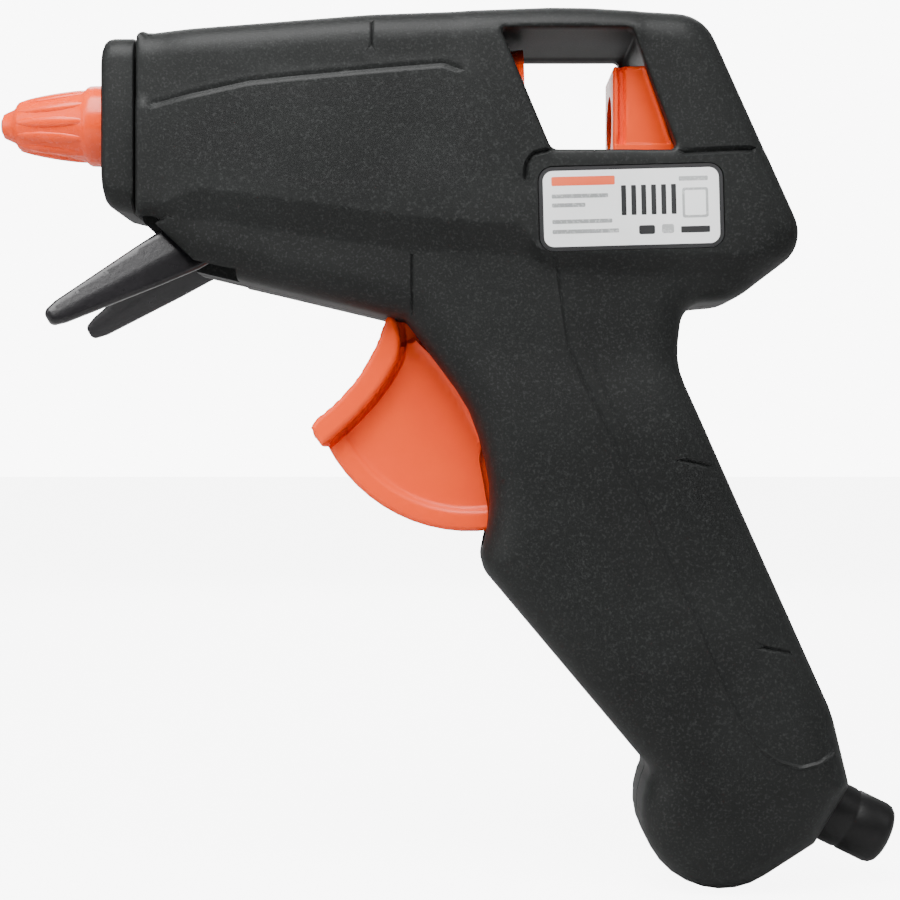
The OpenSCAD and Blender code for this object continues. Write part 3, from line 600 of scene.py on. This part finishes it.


# ---- Stand -----------------------------------------------------------------------------------------------
# A black nylon bail: two legs splayed from a hub that snaps over a steel pin under the nose. The legs have
# a crease along their outer faces and rounded tips.
# The charcoal's paler flecks are painted highlights, standing in for light caught by the grain.
charcoal = surface("charcoal_plastic", (0.0042, 0.0048, 0.0046), (0.0078, 0.0087, 0.0084), 0.52, 0.38, 0.6,
                   painted_glint=0.30,
                   specular=0.22)
satin_black = surface("satin_black_plastic", (0.005, 0.0045, 0.0055), (0.010, 0.009, 0.0105), 0.3, 0.8, 0.2,
                      specular=0.4)
LEG, ROOT, LEG_THICK = 35.0, 5.6, 3.2
leg_line = rounded([(1.5 - ROOT, 0, 1.5), (2.4 - ROOT, 3.2, 2), (-1.5, ROOT - 0.3, 2), (3, ROOT - 0.2, 3),
                    (12, 4.6, 20),
                    (LEG - 3, 2.4, 2), (LEG, 1.6, 1.3), (LEG, -1.6, 1.3), (LEG - 3, -2.4, 2),
                    (12, -4.6, 20),
                    (3, 0.2 - ROOT, 3), (-1.5, 0.3 - ROOT, 2), (2.4 - ROOT, -3.2, 2)][::-1], 0.8)


def leg_height(points):
    h = LEG_THICK / 2 - 0.10 * np.abs(points[:, 1] - 0.4)
    return fillet(h, distance(points, leg_line, np.roll(leg_line, -1, 0)), 0.8)


leg_rows = rows_beside(leg_line, (0.14, 0.4, 0.8), 0.8, True)
hinge = (42.0, -25.2)
splay = math.asin((24.5 - LEG_THICK - 9.5) / LEG)
place = Matrix.Translation((hinge[0] * MM, 0, hinge[1] * MM)) @ Matrix.Rotation(math.radians(149), 4, "Y")
legs = []
for side in (1, -1):
    leg = dome("stand_leg", [leg_line], leg_rows, grid(-5, 36, -6, 6.2, 0.8), leg_height, 0)
    set_leg = Matrix.Translation((0, 9.5 * MM, 0)) @ Matrix.Rotation(splay, 4, "Z")
    flip = Matrix.Scale(side, 4, (0, 1, 0))
    leg.data.transform(flip @ place @ set_leg @ Matrix.Translation((0, LEG_THICK / 2 * MM, 0)))
    legs.append(leg)
hub = turned("hub", [(-10.5, 1.6), (-10.5, 2.6), (-10.1, 3.0), (10.1, 3.0), (10.5, 2.6), (10.5, 1.6)], 40,
             Matrix.Translation((hinge[0], 0, hinge[1])) @ Matrix.Rotation(math.radians(90), 4, "Z"))
stand = join("stand_moulding", *legs, hub)
stand.data.materials.append(satin_black)
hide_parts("stand")
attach(stand, "stand")
dress(pin_steel, "stand_pin")


# ---- Wiring ----------------------------------------------------------------------------------------------
# A white nylon terminal block in the handle joins the cord to the heater's two silicone-covered leads, and
# a screwed clamp grips the cord below it.
dress(surface("terminal_nylon", (0.70, 0.69, 0.66), (0.80, 0.79, 0.77), 0.4, 0.8, 0.2, soft=0.1),
      "terminal_block")
dress(brass, "terminal_screws")
dress(surface("white_silicone", (0.66, 0.65, 0.62), (0.76, 0.75, 0.72), 0.45, 0.5, 0.3),
      "heater_lead_front")
dress(surface("grey_silicone", (0.10, 0.105, 0.115), (0.16, 0.165, 0.18), 0.45, 0.5, 0.3),
      "heater_lead_rear")
dress(charcoal, "cord_clamp", "stick_guide_ring")
dress(pin_steel, "cord_clamp_screws")


# ---- Cord boot -------------------------------------------------------------------------------------------
# A black rubber sleeve with a flange caught in the casing's socket, which keeps the cord from kinking.
boot_place = (Matrix.Translation((174.5, 0, -143.9)) @ Matrix.Rotation(math.radians(26), 4, "Y"))
boot = turned("cable_boot_moulding", [
    (-9, 3.35), (-9, 6.3), (-8.7, 6.6), (-5, 6.6), (-5, 7.9), (-4.7, 8.2), (-3.1, 8.2), (-2.8, 7.9),
    (-2.8, 6.6), (2.2, 6.6),
    (2.5, 6.42), (3.1, 6.42), (3.4, 6.6), (9.4, 6.6), (10.4, 6.35), (11.1, 5.75), (11.5, 4.9), (11.5, 3.7),
    (11.2, 3.35)], 72,
    boot_place)
boot.data.materials.append(surface("black_rubber", (0.002, 0.002, 0.0022), (0.004, 0.004, 0.0042), 0.4, 0.7,
                                   0.3,
                                   specular=0.25))
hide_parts("cable_boot")
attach(boot, "casing")


# ---- Casing halves ---------------------------------------------------------------------------------------
# Two injection-moulded halves of glass-filled nylon, 2.4 mm thick, with a spark-eroded grain. They meet on
# the gun's middle plane, where both edges are broken so that a fine seam shows all the way round.
WALL = 2.4
BARREL_HALF, HANDLE_HALF = 19.0, 18.3


def bulb(r, start, stop, corner):
    return [(149.2 + r * math.cos(math.radians(t)), -141.5 + r * math.sin(math.radians(t)), corner)
            for t in range(start, stop, -12)]


casing_line = rounded([
    (30.5, 16.9, 1.5), (78, 20.6, 60), (118, 22.0, 80), (145.4, 20.4, 9), (166.4, -26.2, 7.5),
    (152, -37.3, 9),
    (141.4, -38.2, 5), (140.0, -50.4, 16), (171.9, -121.5, 14), (175.6, -136.4, 2.5), (168.4, -148.4, 2),
    *bulb(16.2, -56, -206, 1.0), (135.2, -133.4, 3), (99.9, -91.4, 5.5), (102.9, -77, 30),
    (98.3, -59.6, 28),
    (84.7, -41.4, 1.6), (41.2, -31.0, 2.5), (30.5, -20.8, 1.5)], 1.3)
cavity_line = rounded([
    (33, 14.6, 1), (78, 18.2, 60), (103.5, 19.2, 1), (103.5, 17.3, 0.5), (131.9, 17.3, 0.5),
    (140.3, -7.7, 0.5),
    (141.5, -11.5, 1), (156.6, -11.5, 2), (162.6, -24.8, 5), (150.8, -34.8, 6), (138.6, -36.4, 4),
    (137.4, -50.8, 18), (169.4, -122.0, 12), (172.6, -136.0, 2), (166.4, -146.6, 2),
    *bulb(13.8, -56, -198, 1.0),
    (137.4, -132.2, 3), (102.9, -90.6, 4), (105.5, -77.2, 30), (100.8, -58.4, 28), (87.4, -39.2, 2),
    (41.8, -28.5, 2), (33, -19.6, 1)], 1.6)
window_line = rounded([(104.0, 16.8, 0.8), (130.4, 16.8, 1.4), (139.7, -7.6, 1.2), (114.3, -7.6, 2.0)], 0.9)

# relief on the outside: lines that are cut in or stand out, as (points, half width, depth or height)
grip_line = [(114.9, -29.5), (115.9, -36.9), (117.2, -46.1), (120.7, -53.9), (125.1, -63.1), (129.9, -73.3),
             (136.7, -88.7), (143.1, -101.9), (147.7, -113.1), (151.9, -122.1), (156.0, -127.9),
             (160.3, -130.7),
             (164.5, -131.9), (168.3, -130.9), (171.6, -128.6)]
second_line = [(117.8, -38.7), (124.3, -54.3), (129.9, -67.5)]
top_groove = [(33.5, 1.6), (41.7, 3.5), (53.5, 6.1), (61.7, 7.0), (77.9, 8.5), (92.7, 9.7), (96.0, 8.4)]
grooves = [(top_groove, 1.0, 0.75), ([(78.3, 18.6), (78.3, 12.8)], 0.45, 0.35),
           ([(140.6, -8.3), (146, -8.0), (154.6, -7.6)], 0.85, 1.0),
           ([(109.0, -13.6), (109.3, -10.6), (110.6, -8.6), (113.6, -7.9)], 0.7, 0.8),
           ([(86.3, -28.2), (86.3, -40.8)], 0.5, 0.4), ([(140.6, -70.0), (146.6, -71.2)], 0.6, 0.55),
           ([(156.6, -107.6), (162.6, -108.8)], 0.6, 0.55)]
ridges = [(grip_line, 0.55, 0.42), (second_line, 0.5, 0.2)]
# the bevel under the raised side of the barrel, from its top line to its foot
bevel_top = [(30.5, -19.8), (37.7, -18.1), (44.3, -15.7), (87.1, -21.7), (107.9, -22.9), (112.0, -28.0),
             (150, -29.0), (168, -29.0)]
bevel_foot = [(30.5, -21.6), (37.7, -21.4), (45.9, -21.3), (85.1, -27.3), (109, -28.3), (114, -31.5),
              (150, -33.0), (168, -34.0)]
label_line = rounded([(111.4, -11.2, 3), (148.6, -10.3, 3), (149.0, -27.3, 3), (111.8, -28.2, 3)], 0.9)


def line_gap(points, line):
    line = np.array(line, float)
    return distance(points, line[:-1], line[1:])


def edge_gaps(points, line):
    """Distance to the line, apart from its flat front end, and distance to that end."""
    ends = np.roll(line, -1, 0)
    front = (line[:, 0] < 33.2) & (ends[:, 0] < 33.2)
    return distance(points, line[~front], ends[~front]), distance(points, line[front], ends[front])


def side_height(points):
    """The casing's side before its edges are rounded, in mm from the middle plane."""
    x, z = points[:, 0], points[:, 1]
    top, foot = np.interp(x, *zip(*bevel_top)), np.interp(x, *zip(*bevel_foot))
    h = BARREL_HALF - (1.5 + 1.1 * smooth((x - 47) / 12)) * np.clip((top - z) / (top - foot), 0, 1)
    h -= 1.3 * smooth((42.5 - x) / 9) * (z > top - 3)
    h = np.where(z < -45, np.minimum(h + 1.2 * smooth((-45 - z) / 20), HANDLE_HALF), h)
    return h - 0.8 * smooth((-118 - z) / 30)


def outside_height(points, with_label):
    x, z = points[:, 0], points[:, 1]
    h = side_height(points)
    groove_z = np.interp(x, *zip(*top_groove))
    h -= 0.6 * smooth((z - groove_z) / 1.2) * smooth((99 - x) / 5)
    h -= 0.35 * smooth((z + 8.2) / 0.8) * smooth((x - 131) / 2)
    for line, wide, deep in grooves:
        h -= deep * smooth(1 - line_gap(points, line) / wide)
    for line, wide, tall in ridges:
        h += tall * smooth(1 - line_gap(points, line) / wide)
    if with_label:
        h -= 0.42 * inside(points, label_line)
    side, front = edge_gaps(points, casing_line)
    h = fillet(h, side, 6.0 + 1.5 * smooth((-45 - z) / 40))
    h = fillet(h, front, 1.4)
    return fillet(h, distance(points, window_line, np.roll(window_line, -1, 0)), 0.9)


def cavity_height(points):
    side, front = edge_gaps(points, cavity_line)
    return fillet(side_height(points) - WALL, side, 3.6 + 1.5 * smooth((-45 - points[:, 1]) / 40))


def casing_half(name, side):
    outer, inner = 6.8, 4.4  # how far the rounded edges reach in
    round_in = [1 - math.cos(math.radians(t)) for t in (18, 32, 45, 58, 72, 86)]
    rows = [*rows_beside(casing_line, [outer * c for c in round_in[:4]], 1.3, True),
            *rows_beside(window_line, (0.14, 0.4, 0.9), 1.0, True),
            *rows_beside(label_line, (0.06,), 0.8, True)]
    for line, wide, _ in grooves + ridges:
        rows += rows_beside(line, (0, wide / 2, wide, wide + 0.3), 0.8, False)
    for line in (bevel_top, bevel_foot):
        rows += rows_beside(line, (0, 0.8), 1.5, False)
    rim = np.vstack([beside(casing_line, [outer * c * s for c in round_in[4:] for s in (1, -1)], 1.6, True),
                     grid(31, 177, -158, 22, 2.0)])
    half = dome(name, [casing_line, window_line], rows, rim, lambda p: outside_height(p, side < 0), side,
                (0.3, 0.0))
    hollow = [beside(cavity_line, [inner * c], 2.2, True) for c in round_in[:4]]
    hollow += [beside(cavity_line, [-inner * c], 2.2, True) for c in round_in[:4]]
    tools = [dome("tool", [cavity_line], hollow, grid(31, 177, -158, 22, 4), cavity_height, side,
                  (-1.0, -1.0))]

    def across(near, far):
        return sorted([side * near, side * far])

    # where the nose collar's neck, the trigger's web, the stand's legs, the stick and the boot pass through
    tools += [prism([(28, 12.2), (34, 12.2), (34, -15.8), (28, -15.8)], *across(13, -1)),
              prism([(74, -41.7), (86.6, -41.7), (88, -37), (107, -37), (107, -88.2), (74, -88.2)],
                    *across(6.1, -1)),
              prism([(27, -18.0), (45, -18.0), (50.6, -23), (50.6, -44), (27, -44)], *across(15.6, 6.8)),
              round_bar((130, 0, 0), (170, 0, 0), 8.7, 48),
              round_bar((165.5, 0, -139.5), (190, 0, -151.5), 6.75, 40)]
    if side > 0:
        for x, z, w in screw_places:
            tools.append(round_bar((x, w - 6.6, z), (x, w + 3, z), 3.1, 32))
    cut(half, tools)
    return clean(half, 38)


screw_places = [(88, 14.6, 19), (142.4, 14.4, 19), (156.5, -24, 19), (62, -25.5, 19), (116, -90, 17),
                (160.5, -118, 17), (139.5, -146.5, 17)]
for name, side in (("casing_left", -1), ("casing_right", 1)):
    half = casing_half(name + "_moulding", side)
    half.data.materials.append(charcoal)
    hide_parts(name)
    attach(half, "casing")


# ---- Nose collar -----------------------------------------------------------------------------------------
# A separate moulding in the same grained nylon. Its neck is trapped between the halves, and its rounded
# plate closes the casing round the silicone cap.
def collar_ring(x, inset, low_inset):
    """A rounded rectangle across the gun at x, as points in mm."""
    left, bottom, right, top = -16.2 + inset, -19.4 + inset + low_inset, 16.2 - inset, 15.9 - inset
    corners = [(right - 5, top - 5, 0), (left + 5, top - 5, 90), (left + 5, bottom + 5, 180),
               (right - 5, bottom + 5, 270)]
    return [(x, cy + 5 * math.cos(math.radians(a + t)), cz + 5 * math.sin(math.radians(a + t)))
            for cy, cz, a in corners for t in range(0, 91, 10)]


rows = [collar_ring(*r) for r in (
    (23.2, 2.3, 2.4), (23.3, 1.5, 2.0), (23.8, 0.7, 1.4), (24.6, 0.2, 0.9), (25.6, 0.0, 0.45),
    (27.4, 0.0, 0.0),
    (29.5, 0.0, -0.5), (29.9, 0.15, -0.4), (30.1, 0.5, -0.1), (30.1, 3.4, 0.6), (35.0, 3.8, 0.6))]
n = len(rows[0])
cap_hole = [[(x, 8.5 * y / math.hypot(y, z), 8.5 * z / math.hypot(y, z)) for _, y, z in rows[0]]
            for x in (35.0, 23.7)]
cap_hole.append([(23.2, 9.0 * y / math.hypot(y, z), 9.0 * z / math.hypot(y, z)) for _, y, z in rows[0]])
rows += cap_hole
collar = clean(solid("nose_collar_moulding", [p for row in rows for p in row],
                     [(j * n + i, j * n + (i + 1) % n, (j + 1) % len(rows) * n + (i + 1) % n,
                       (j + 1) % len(rows) * n + i)
                      for j in range(len(rows)) for i in range(n)]))
collar.data.materials.append(charcoal)
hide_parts("nose_collar")
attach(collar, "casing")


# ---- Casing screws ---------------------------------------------------------------------------------------
# Seven zinc-plated thread-forming screws with cross recesses, driven from the right into posts in the left
# half.
zinc = surface("zinc_plated_steel", (0.48, 0.48, 0.47), (0.60, 0.60, 0.58), 0.3, 0.25, 0.2, metal=1)
tree, given, result = geometry_tree("casing_screws", {"Head diameter": "Float", "Head height": "Float",
                                                      "Shank diameter": "Float", "Recess length": "Float",
                                                      "Recess width": "Float", "Material": "Material"})
nodes, links = tree.nodes, tree.links


def node(kind, **sockets):
    """A node with its sockets set to values or linked to outputs."""
    made = nodes.new(kind)
    for name, value in sockets.items():
        numbered = name[0] == "i" and name[1:].isdigit()
        socket = made.inputs[int(name[1:])] if numbered else made.inputs[name.replace("_", " ")]
        if hasattr(value, "links"):
            links.new(value, socket)
        else:
            socket.default_value = value
    return made


def half_of(socket):
    made = node("ShaderNodeMath", i0=socket, i1=0.5)
    made.operation = "MULTIPLY"
    return made.outputs[0]


head = node("GeometryNodeMeshCylinder", Vertices=40, Radius=half_of(given.outputs["Head diameter"]),
            Depth=given.outputs["Head height"]).outputs["Mesh"]
dome_top = node("GeometryNodeMeshUVSphere", Segments=40, Rings=20,
                Radius=half_of(given.outputs["Head diameter"]))
lens = node("GeometryNodeTransform", Geometry=dome_top.outputs["Mesh"],
            Scale=(1.0, 1.0, 0.55)).outputs["Geometry"]
body = nodes.new("GeometryNodeMeshBoolean")
body.operation = "UNION"
links.new(head, body.inputs["Mesh 2"])
links.new(lens, body.inputs["Mesh 2"])
arms = []
for a, b in (("Recess length", "Recess width"), ("Recess width", "Recess length")):
    size = node("ShaderNodeCombineXYZ", X=given.outputs[a], Y=given.outputs[b],
                Z=given.outputs["Head height"])
    arm = node("GeometryNodeMeshCube", Size=size.outputs["Vector"]).outputs["Mesh"]
    lift = node("ShaderNodeCombineXYZ", Z=given.outputs["Head height"])
    arms.append(node("GeometryNodeTransform", Geometry=arm,
                     Translation=lift.outputs["Vector"]).outputs["Geometry"])
cross = nodes.new("GeometryNodeMeshBoolean")
cross.operation = "DIFFERENCE"
links.new(body.outputs["Mesh"], cross.inputs["Mesh 1"])
for arm in arms:
    links.new(arm, cross.inputs["Mesh 2"])
reach = nodes.new("GeometryNodeInputNamedAttribute")
reach.data_type = "FLOAT"
reach.inputs["Name"].default_value = "reach"
shank = node("GeometryNodeMeshCylinder", Vertices=24, Radius=half_of(given.outputs["Shank diameter"]),
             Depth=1.0).outputs["Mesh"]
drop = node("GeometryNodeTransform", Geometry=shank, Translation=(0, 0, -0.5)).outputs["Geometry"]
long = node("ShaderNodeCombineXYZ", X=1.0, Y=1.0, Z=reach.outputs["Attribute"])
tip_over = (-math.pi / 2, 0, 0)
heads = node("GeometryNodeInstanceOnPoints", Points=given.outputs["Geometry"],
             Instance=cross.outputs["Mesh"],
             Rotation=tip_over)
shanks = node("GeometryNodeInstanceOnPoints", Points=given.outputs["Geometry"], Instance=drop,
              Rotation=tip_over,
              Scale=long.outputs["Vector"])
both = nodes.new("GeometryNodeJoinGeometry")
for part in (heads, shanks):
    links.new(part.outputs["Instances"], both.inputs[0])
real = node("GeometryNodeRealizeInstances", Geometry=both.outputs[0])
paint = node("GeometryNodeSetMaterial", Geometry=real.outputs["Geometry"],
             Material=given.outputs["Material"])
links.new(paint.outputs["Geometry"], result.inputs["Geometry"])
screws = solid("casing_screw_set", [(x, w - 6, z) for x, z, w in screw_places], [])
lengths = screws.data.attributes.new("reach", "FLOAT", "POINT")
for i, (x, z, w) in enumerate(screw_places):
    lengths.data[i].value = (2 * w - 13) * MM
grow(screws, tree, {"Head diameter": 5.4 * MM, "Head height": 2 * MM, "Shank diameter": 2.8 * MM,
                    "Recess length": 3.2 * MM, "Recess width": 0.75 * MM, "Material": zinc})
clean(screws)
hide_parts("casing_screws")
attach(screws, "casing")


# ---- Rating label ----------------------------------------------------------------------------------------
# A white polyester film stuck in a shallow recess, printed with plain bars. Its thin black border is painted
# shade: a black plate under the film, 0.8 mm wider all round, where the recess's edge lies in shadow.
label_turn = (Matrix.Translation((130.2, 0, -19.3)) @ Matrix.Rotation(math.radians(-1.5), 4, "Y"))
LABEL_FACE = 19.0


def print_plate(corners, y, thick):
    """A thin closed plate on the label, of corners (x, z, radius) from its middle."""
    return [tuple(label_turn @ Vector((x, d, z))) for d in (y, y + thick) for x, z in rounded(corners, 0.8)]


def plate_faces(start, count):
    faces = [tuple(range(start, start + count)), tuple(range(start + 2 * count - 1, start + count - 1, -1))]
    return faces + [(start + i, start + count + i, start + count + (i + 1) % count, start + (i + 1) % count)
                    for i in range(count)]


def box_corners(x0, z0, x1, z1, r):
    return [(x0, z1, r), (x1, z1, r), (x1, z0, r), (x0, z0, r)]


# Painted shade: the first plate is black and shows as a border 0.8 mm wide round the white film, where the
# recess's edge is in shadow.
prints = [(box_corners(-18.4, -8.4, 18.4, 8.4, 2.8), 0, 1),
          (box_corners(-17.6, -7.6, 17.6, 7.6, 2.0), 1, 0),
          (box_corners(-15.9, 4.6, -3.2, 6.4, 0.3), 2, 2), (box_corners(-15.9, 2.1, -4.6, 2.9, 0.2), 2, 3),
          (box_corners(-15.9, 0.3, -9.2, 1.1, 0.2), 2, 3),
          (box_corners(-15.9, -3.0, -3.9, -2.2, 0.2), 2, 3),
          (box_corners(-15.9, -5.0, -2.6, -4.2, 0.2), 2, 3),
          (box_corners(10.2, -2.4, 15.4, 3.6, 0.5), 2, 3),
          (box_corners(10.7, -1.9, 14.9, 3.1, 0.3), 3, 0), (box_corners(9.6, 5.0, 15.4, 5.9, 0.2), 2, 3),
          (box_corners(9.8, -5.4, 15.6, -4.1, 0.2), 2, 1), (box_corners(1.4, -5.5, 4.6, -3.7, 0.4), 2, 1),
          (box_corners(6.0, -5.4, 8.4, -3.6, 0.4), 2, 3)]
prints += [(box_corners(x, -1.6, x + 1.0, 4.4, 0.15), 2, 1) for x in (-2.0, 0.0, 2.0, 4.0, 6.0, 8.0)]
verts, faces, inks = [], [], []
for corners, layer, ink in prints:
    count = len(rounded(corners, 0.8))
    made = plate_faces(len(verts), count)
    verts += print_plate(corners, -LABEL_FACE - 0.02 * layer, 0.38 if layer == 0 else 0.05)
    faces += made
    inks += [ink] * len(made)
label = clean(solid("rating_label_film", verts, faces))
for ink in (surface("white_film", (0.78, 0.79, 0.79), (0.86, 0.87, 0.87), 0.32, 2.5, 0.06, coat=0.2),
            surface("black_ink", (0.010, 0.010, 0.011), (0.02, 0.02, 0.021), 0.4, 0.4, 0.1),
            surface("orange_ink", (0.72, 0.09, 0.03), (0.80, 0.13, 0.05), 0.4, 0.4, 0.1),
            surface("grey_ink", (0.22, 0.23, 0.23), (0.36, 0.37, 0.37), 0.4, 0.4, 0.1, painted_glint=0.3)):
    label.data.materials.append(ink)
for poly, ink in zip(label.data.polygons, inks):
    poly.material_index = ink
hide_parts("rating_label")
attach(label, "casing")


# ---- Studio ----------------------------------------------------------------------------------------------
# A level camera square to the gun's left side, over a plain pale floor with wide soft lights. The floor and
# the world are brighter to the camera than to the gun, so that the background is white.
camera_data = bpy.data.cameras.new("camera")
camera_data.sensor_width = 36
CAMERA_AWAY, PICTURE_WIDTH = 400, 189  # mm from the gun's middle plane, and mm seen across it
camera_data.lens = camera_data.sensor_width * CAMERA_AWAY / PICTURE_WIDTH
camera = bpy.data.objects.new("camera", camera_data)
camera.location = (0.0939, -CAMERA_AWAY * MM, -0.0679)
camera.rotation_euler = (math.radians(90), 0, 0)
bpy.context.scene.collection.objects.link(camera)
bpy.context.scene.camera = camera

floor_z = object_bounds()[0][2] / MM - 0.4
floor = solid("floor", [(-6000, -6000, floor_z), (6000, -6000, floor_z), (6000, 6000, floor_z),
                        (-6000, 6000, floor_z)],
              [(0, 1, 2, 3)])
paper = surface("white_paper", (0.50, 0.50, 0.50), (0.54, 0.54, 0.54), 0.8, 3, 0.05)
nodes, links = paper.node_tree.nodes, paper.node_tree.links
glow = nodes.new("ShaderNodeMath")
glow.operation = "MULTIPLY"
glow.inputs[1].default_value = 7.0
links.new(nodes.new("ShaderNodeLightPath").outputs["Is Camera Ray"], glow.inputs[0])
nodes["Principled BSDF"].inputs["Emission Color"].default_value = (1, 1, 1, 1)
links.new(glow.outputs[0], nodes["Principled BSDF"].inputs["Emission Strength"])
floor.data.materials.append(paper)
world = bpy.data.worlds.new("studio")
world.use_nodes = True
nodes, links = world.node_tree.nodes, world.node_tree.links
backdrop = nodes.new("ShaderNodeMapRange")
backdrop.inputs["To Min"].default_value, backdrop.inputs["To Max"].default_value = 0.34, 9.0
links.new(nodes.new("ShaderNodeLightPath").outputs["Is Camera Ray"], backdrop.inputs["Value"])
nodes["Background"].inputs["Color"].default_value = (1, 1, 1, 1)
links.new(backdrop.outputs["Result"], nodes["Background"].inputs["Strength"])
bpy.context.scene.world = world
for name, place, size, watts in (("softbox_top", (0.0, -0.30, 0.42), 0.45, 9),
                                 ("softbox_left", (-0.6, -0.4, 0.2), 0.5, 2.2),
                                 ("softbox_right", (0.75, -0.3, 0.3), 0.45, 0.9),
                                 ("softbox_back", (0.1, 0.7, 0.35), 0.7, 6)):
    lamp = bpy.data.lights.new(name, "AREA")
    lamp.size, lamp.energy = size, watts
    light = bpy.data.objects.new(name, lamp)
    light.location = place
    light.rotation_euler = (Vector((0.095, 0, -0.06)) - Vector(place)).to_track_quat("-Z", "Y").to_euler()
    bpy.context.scene.collection.objects.link(light)
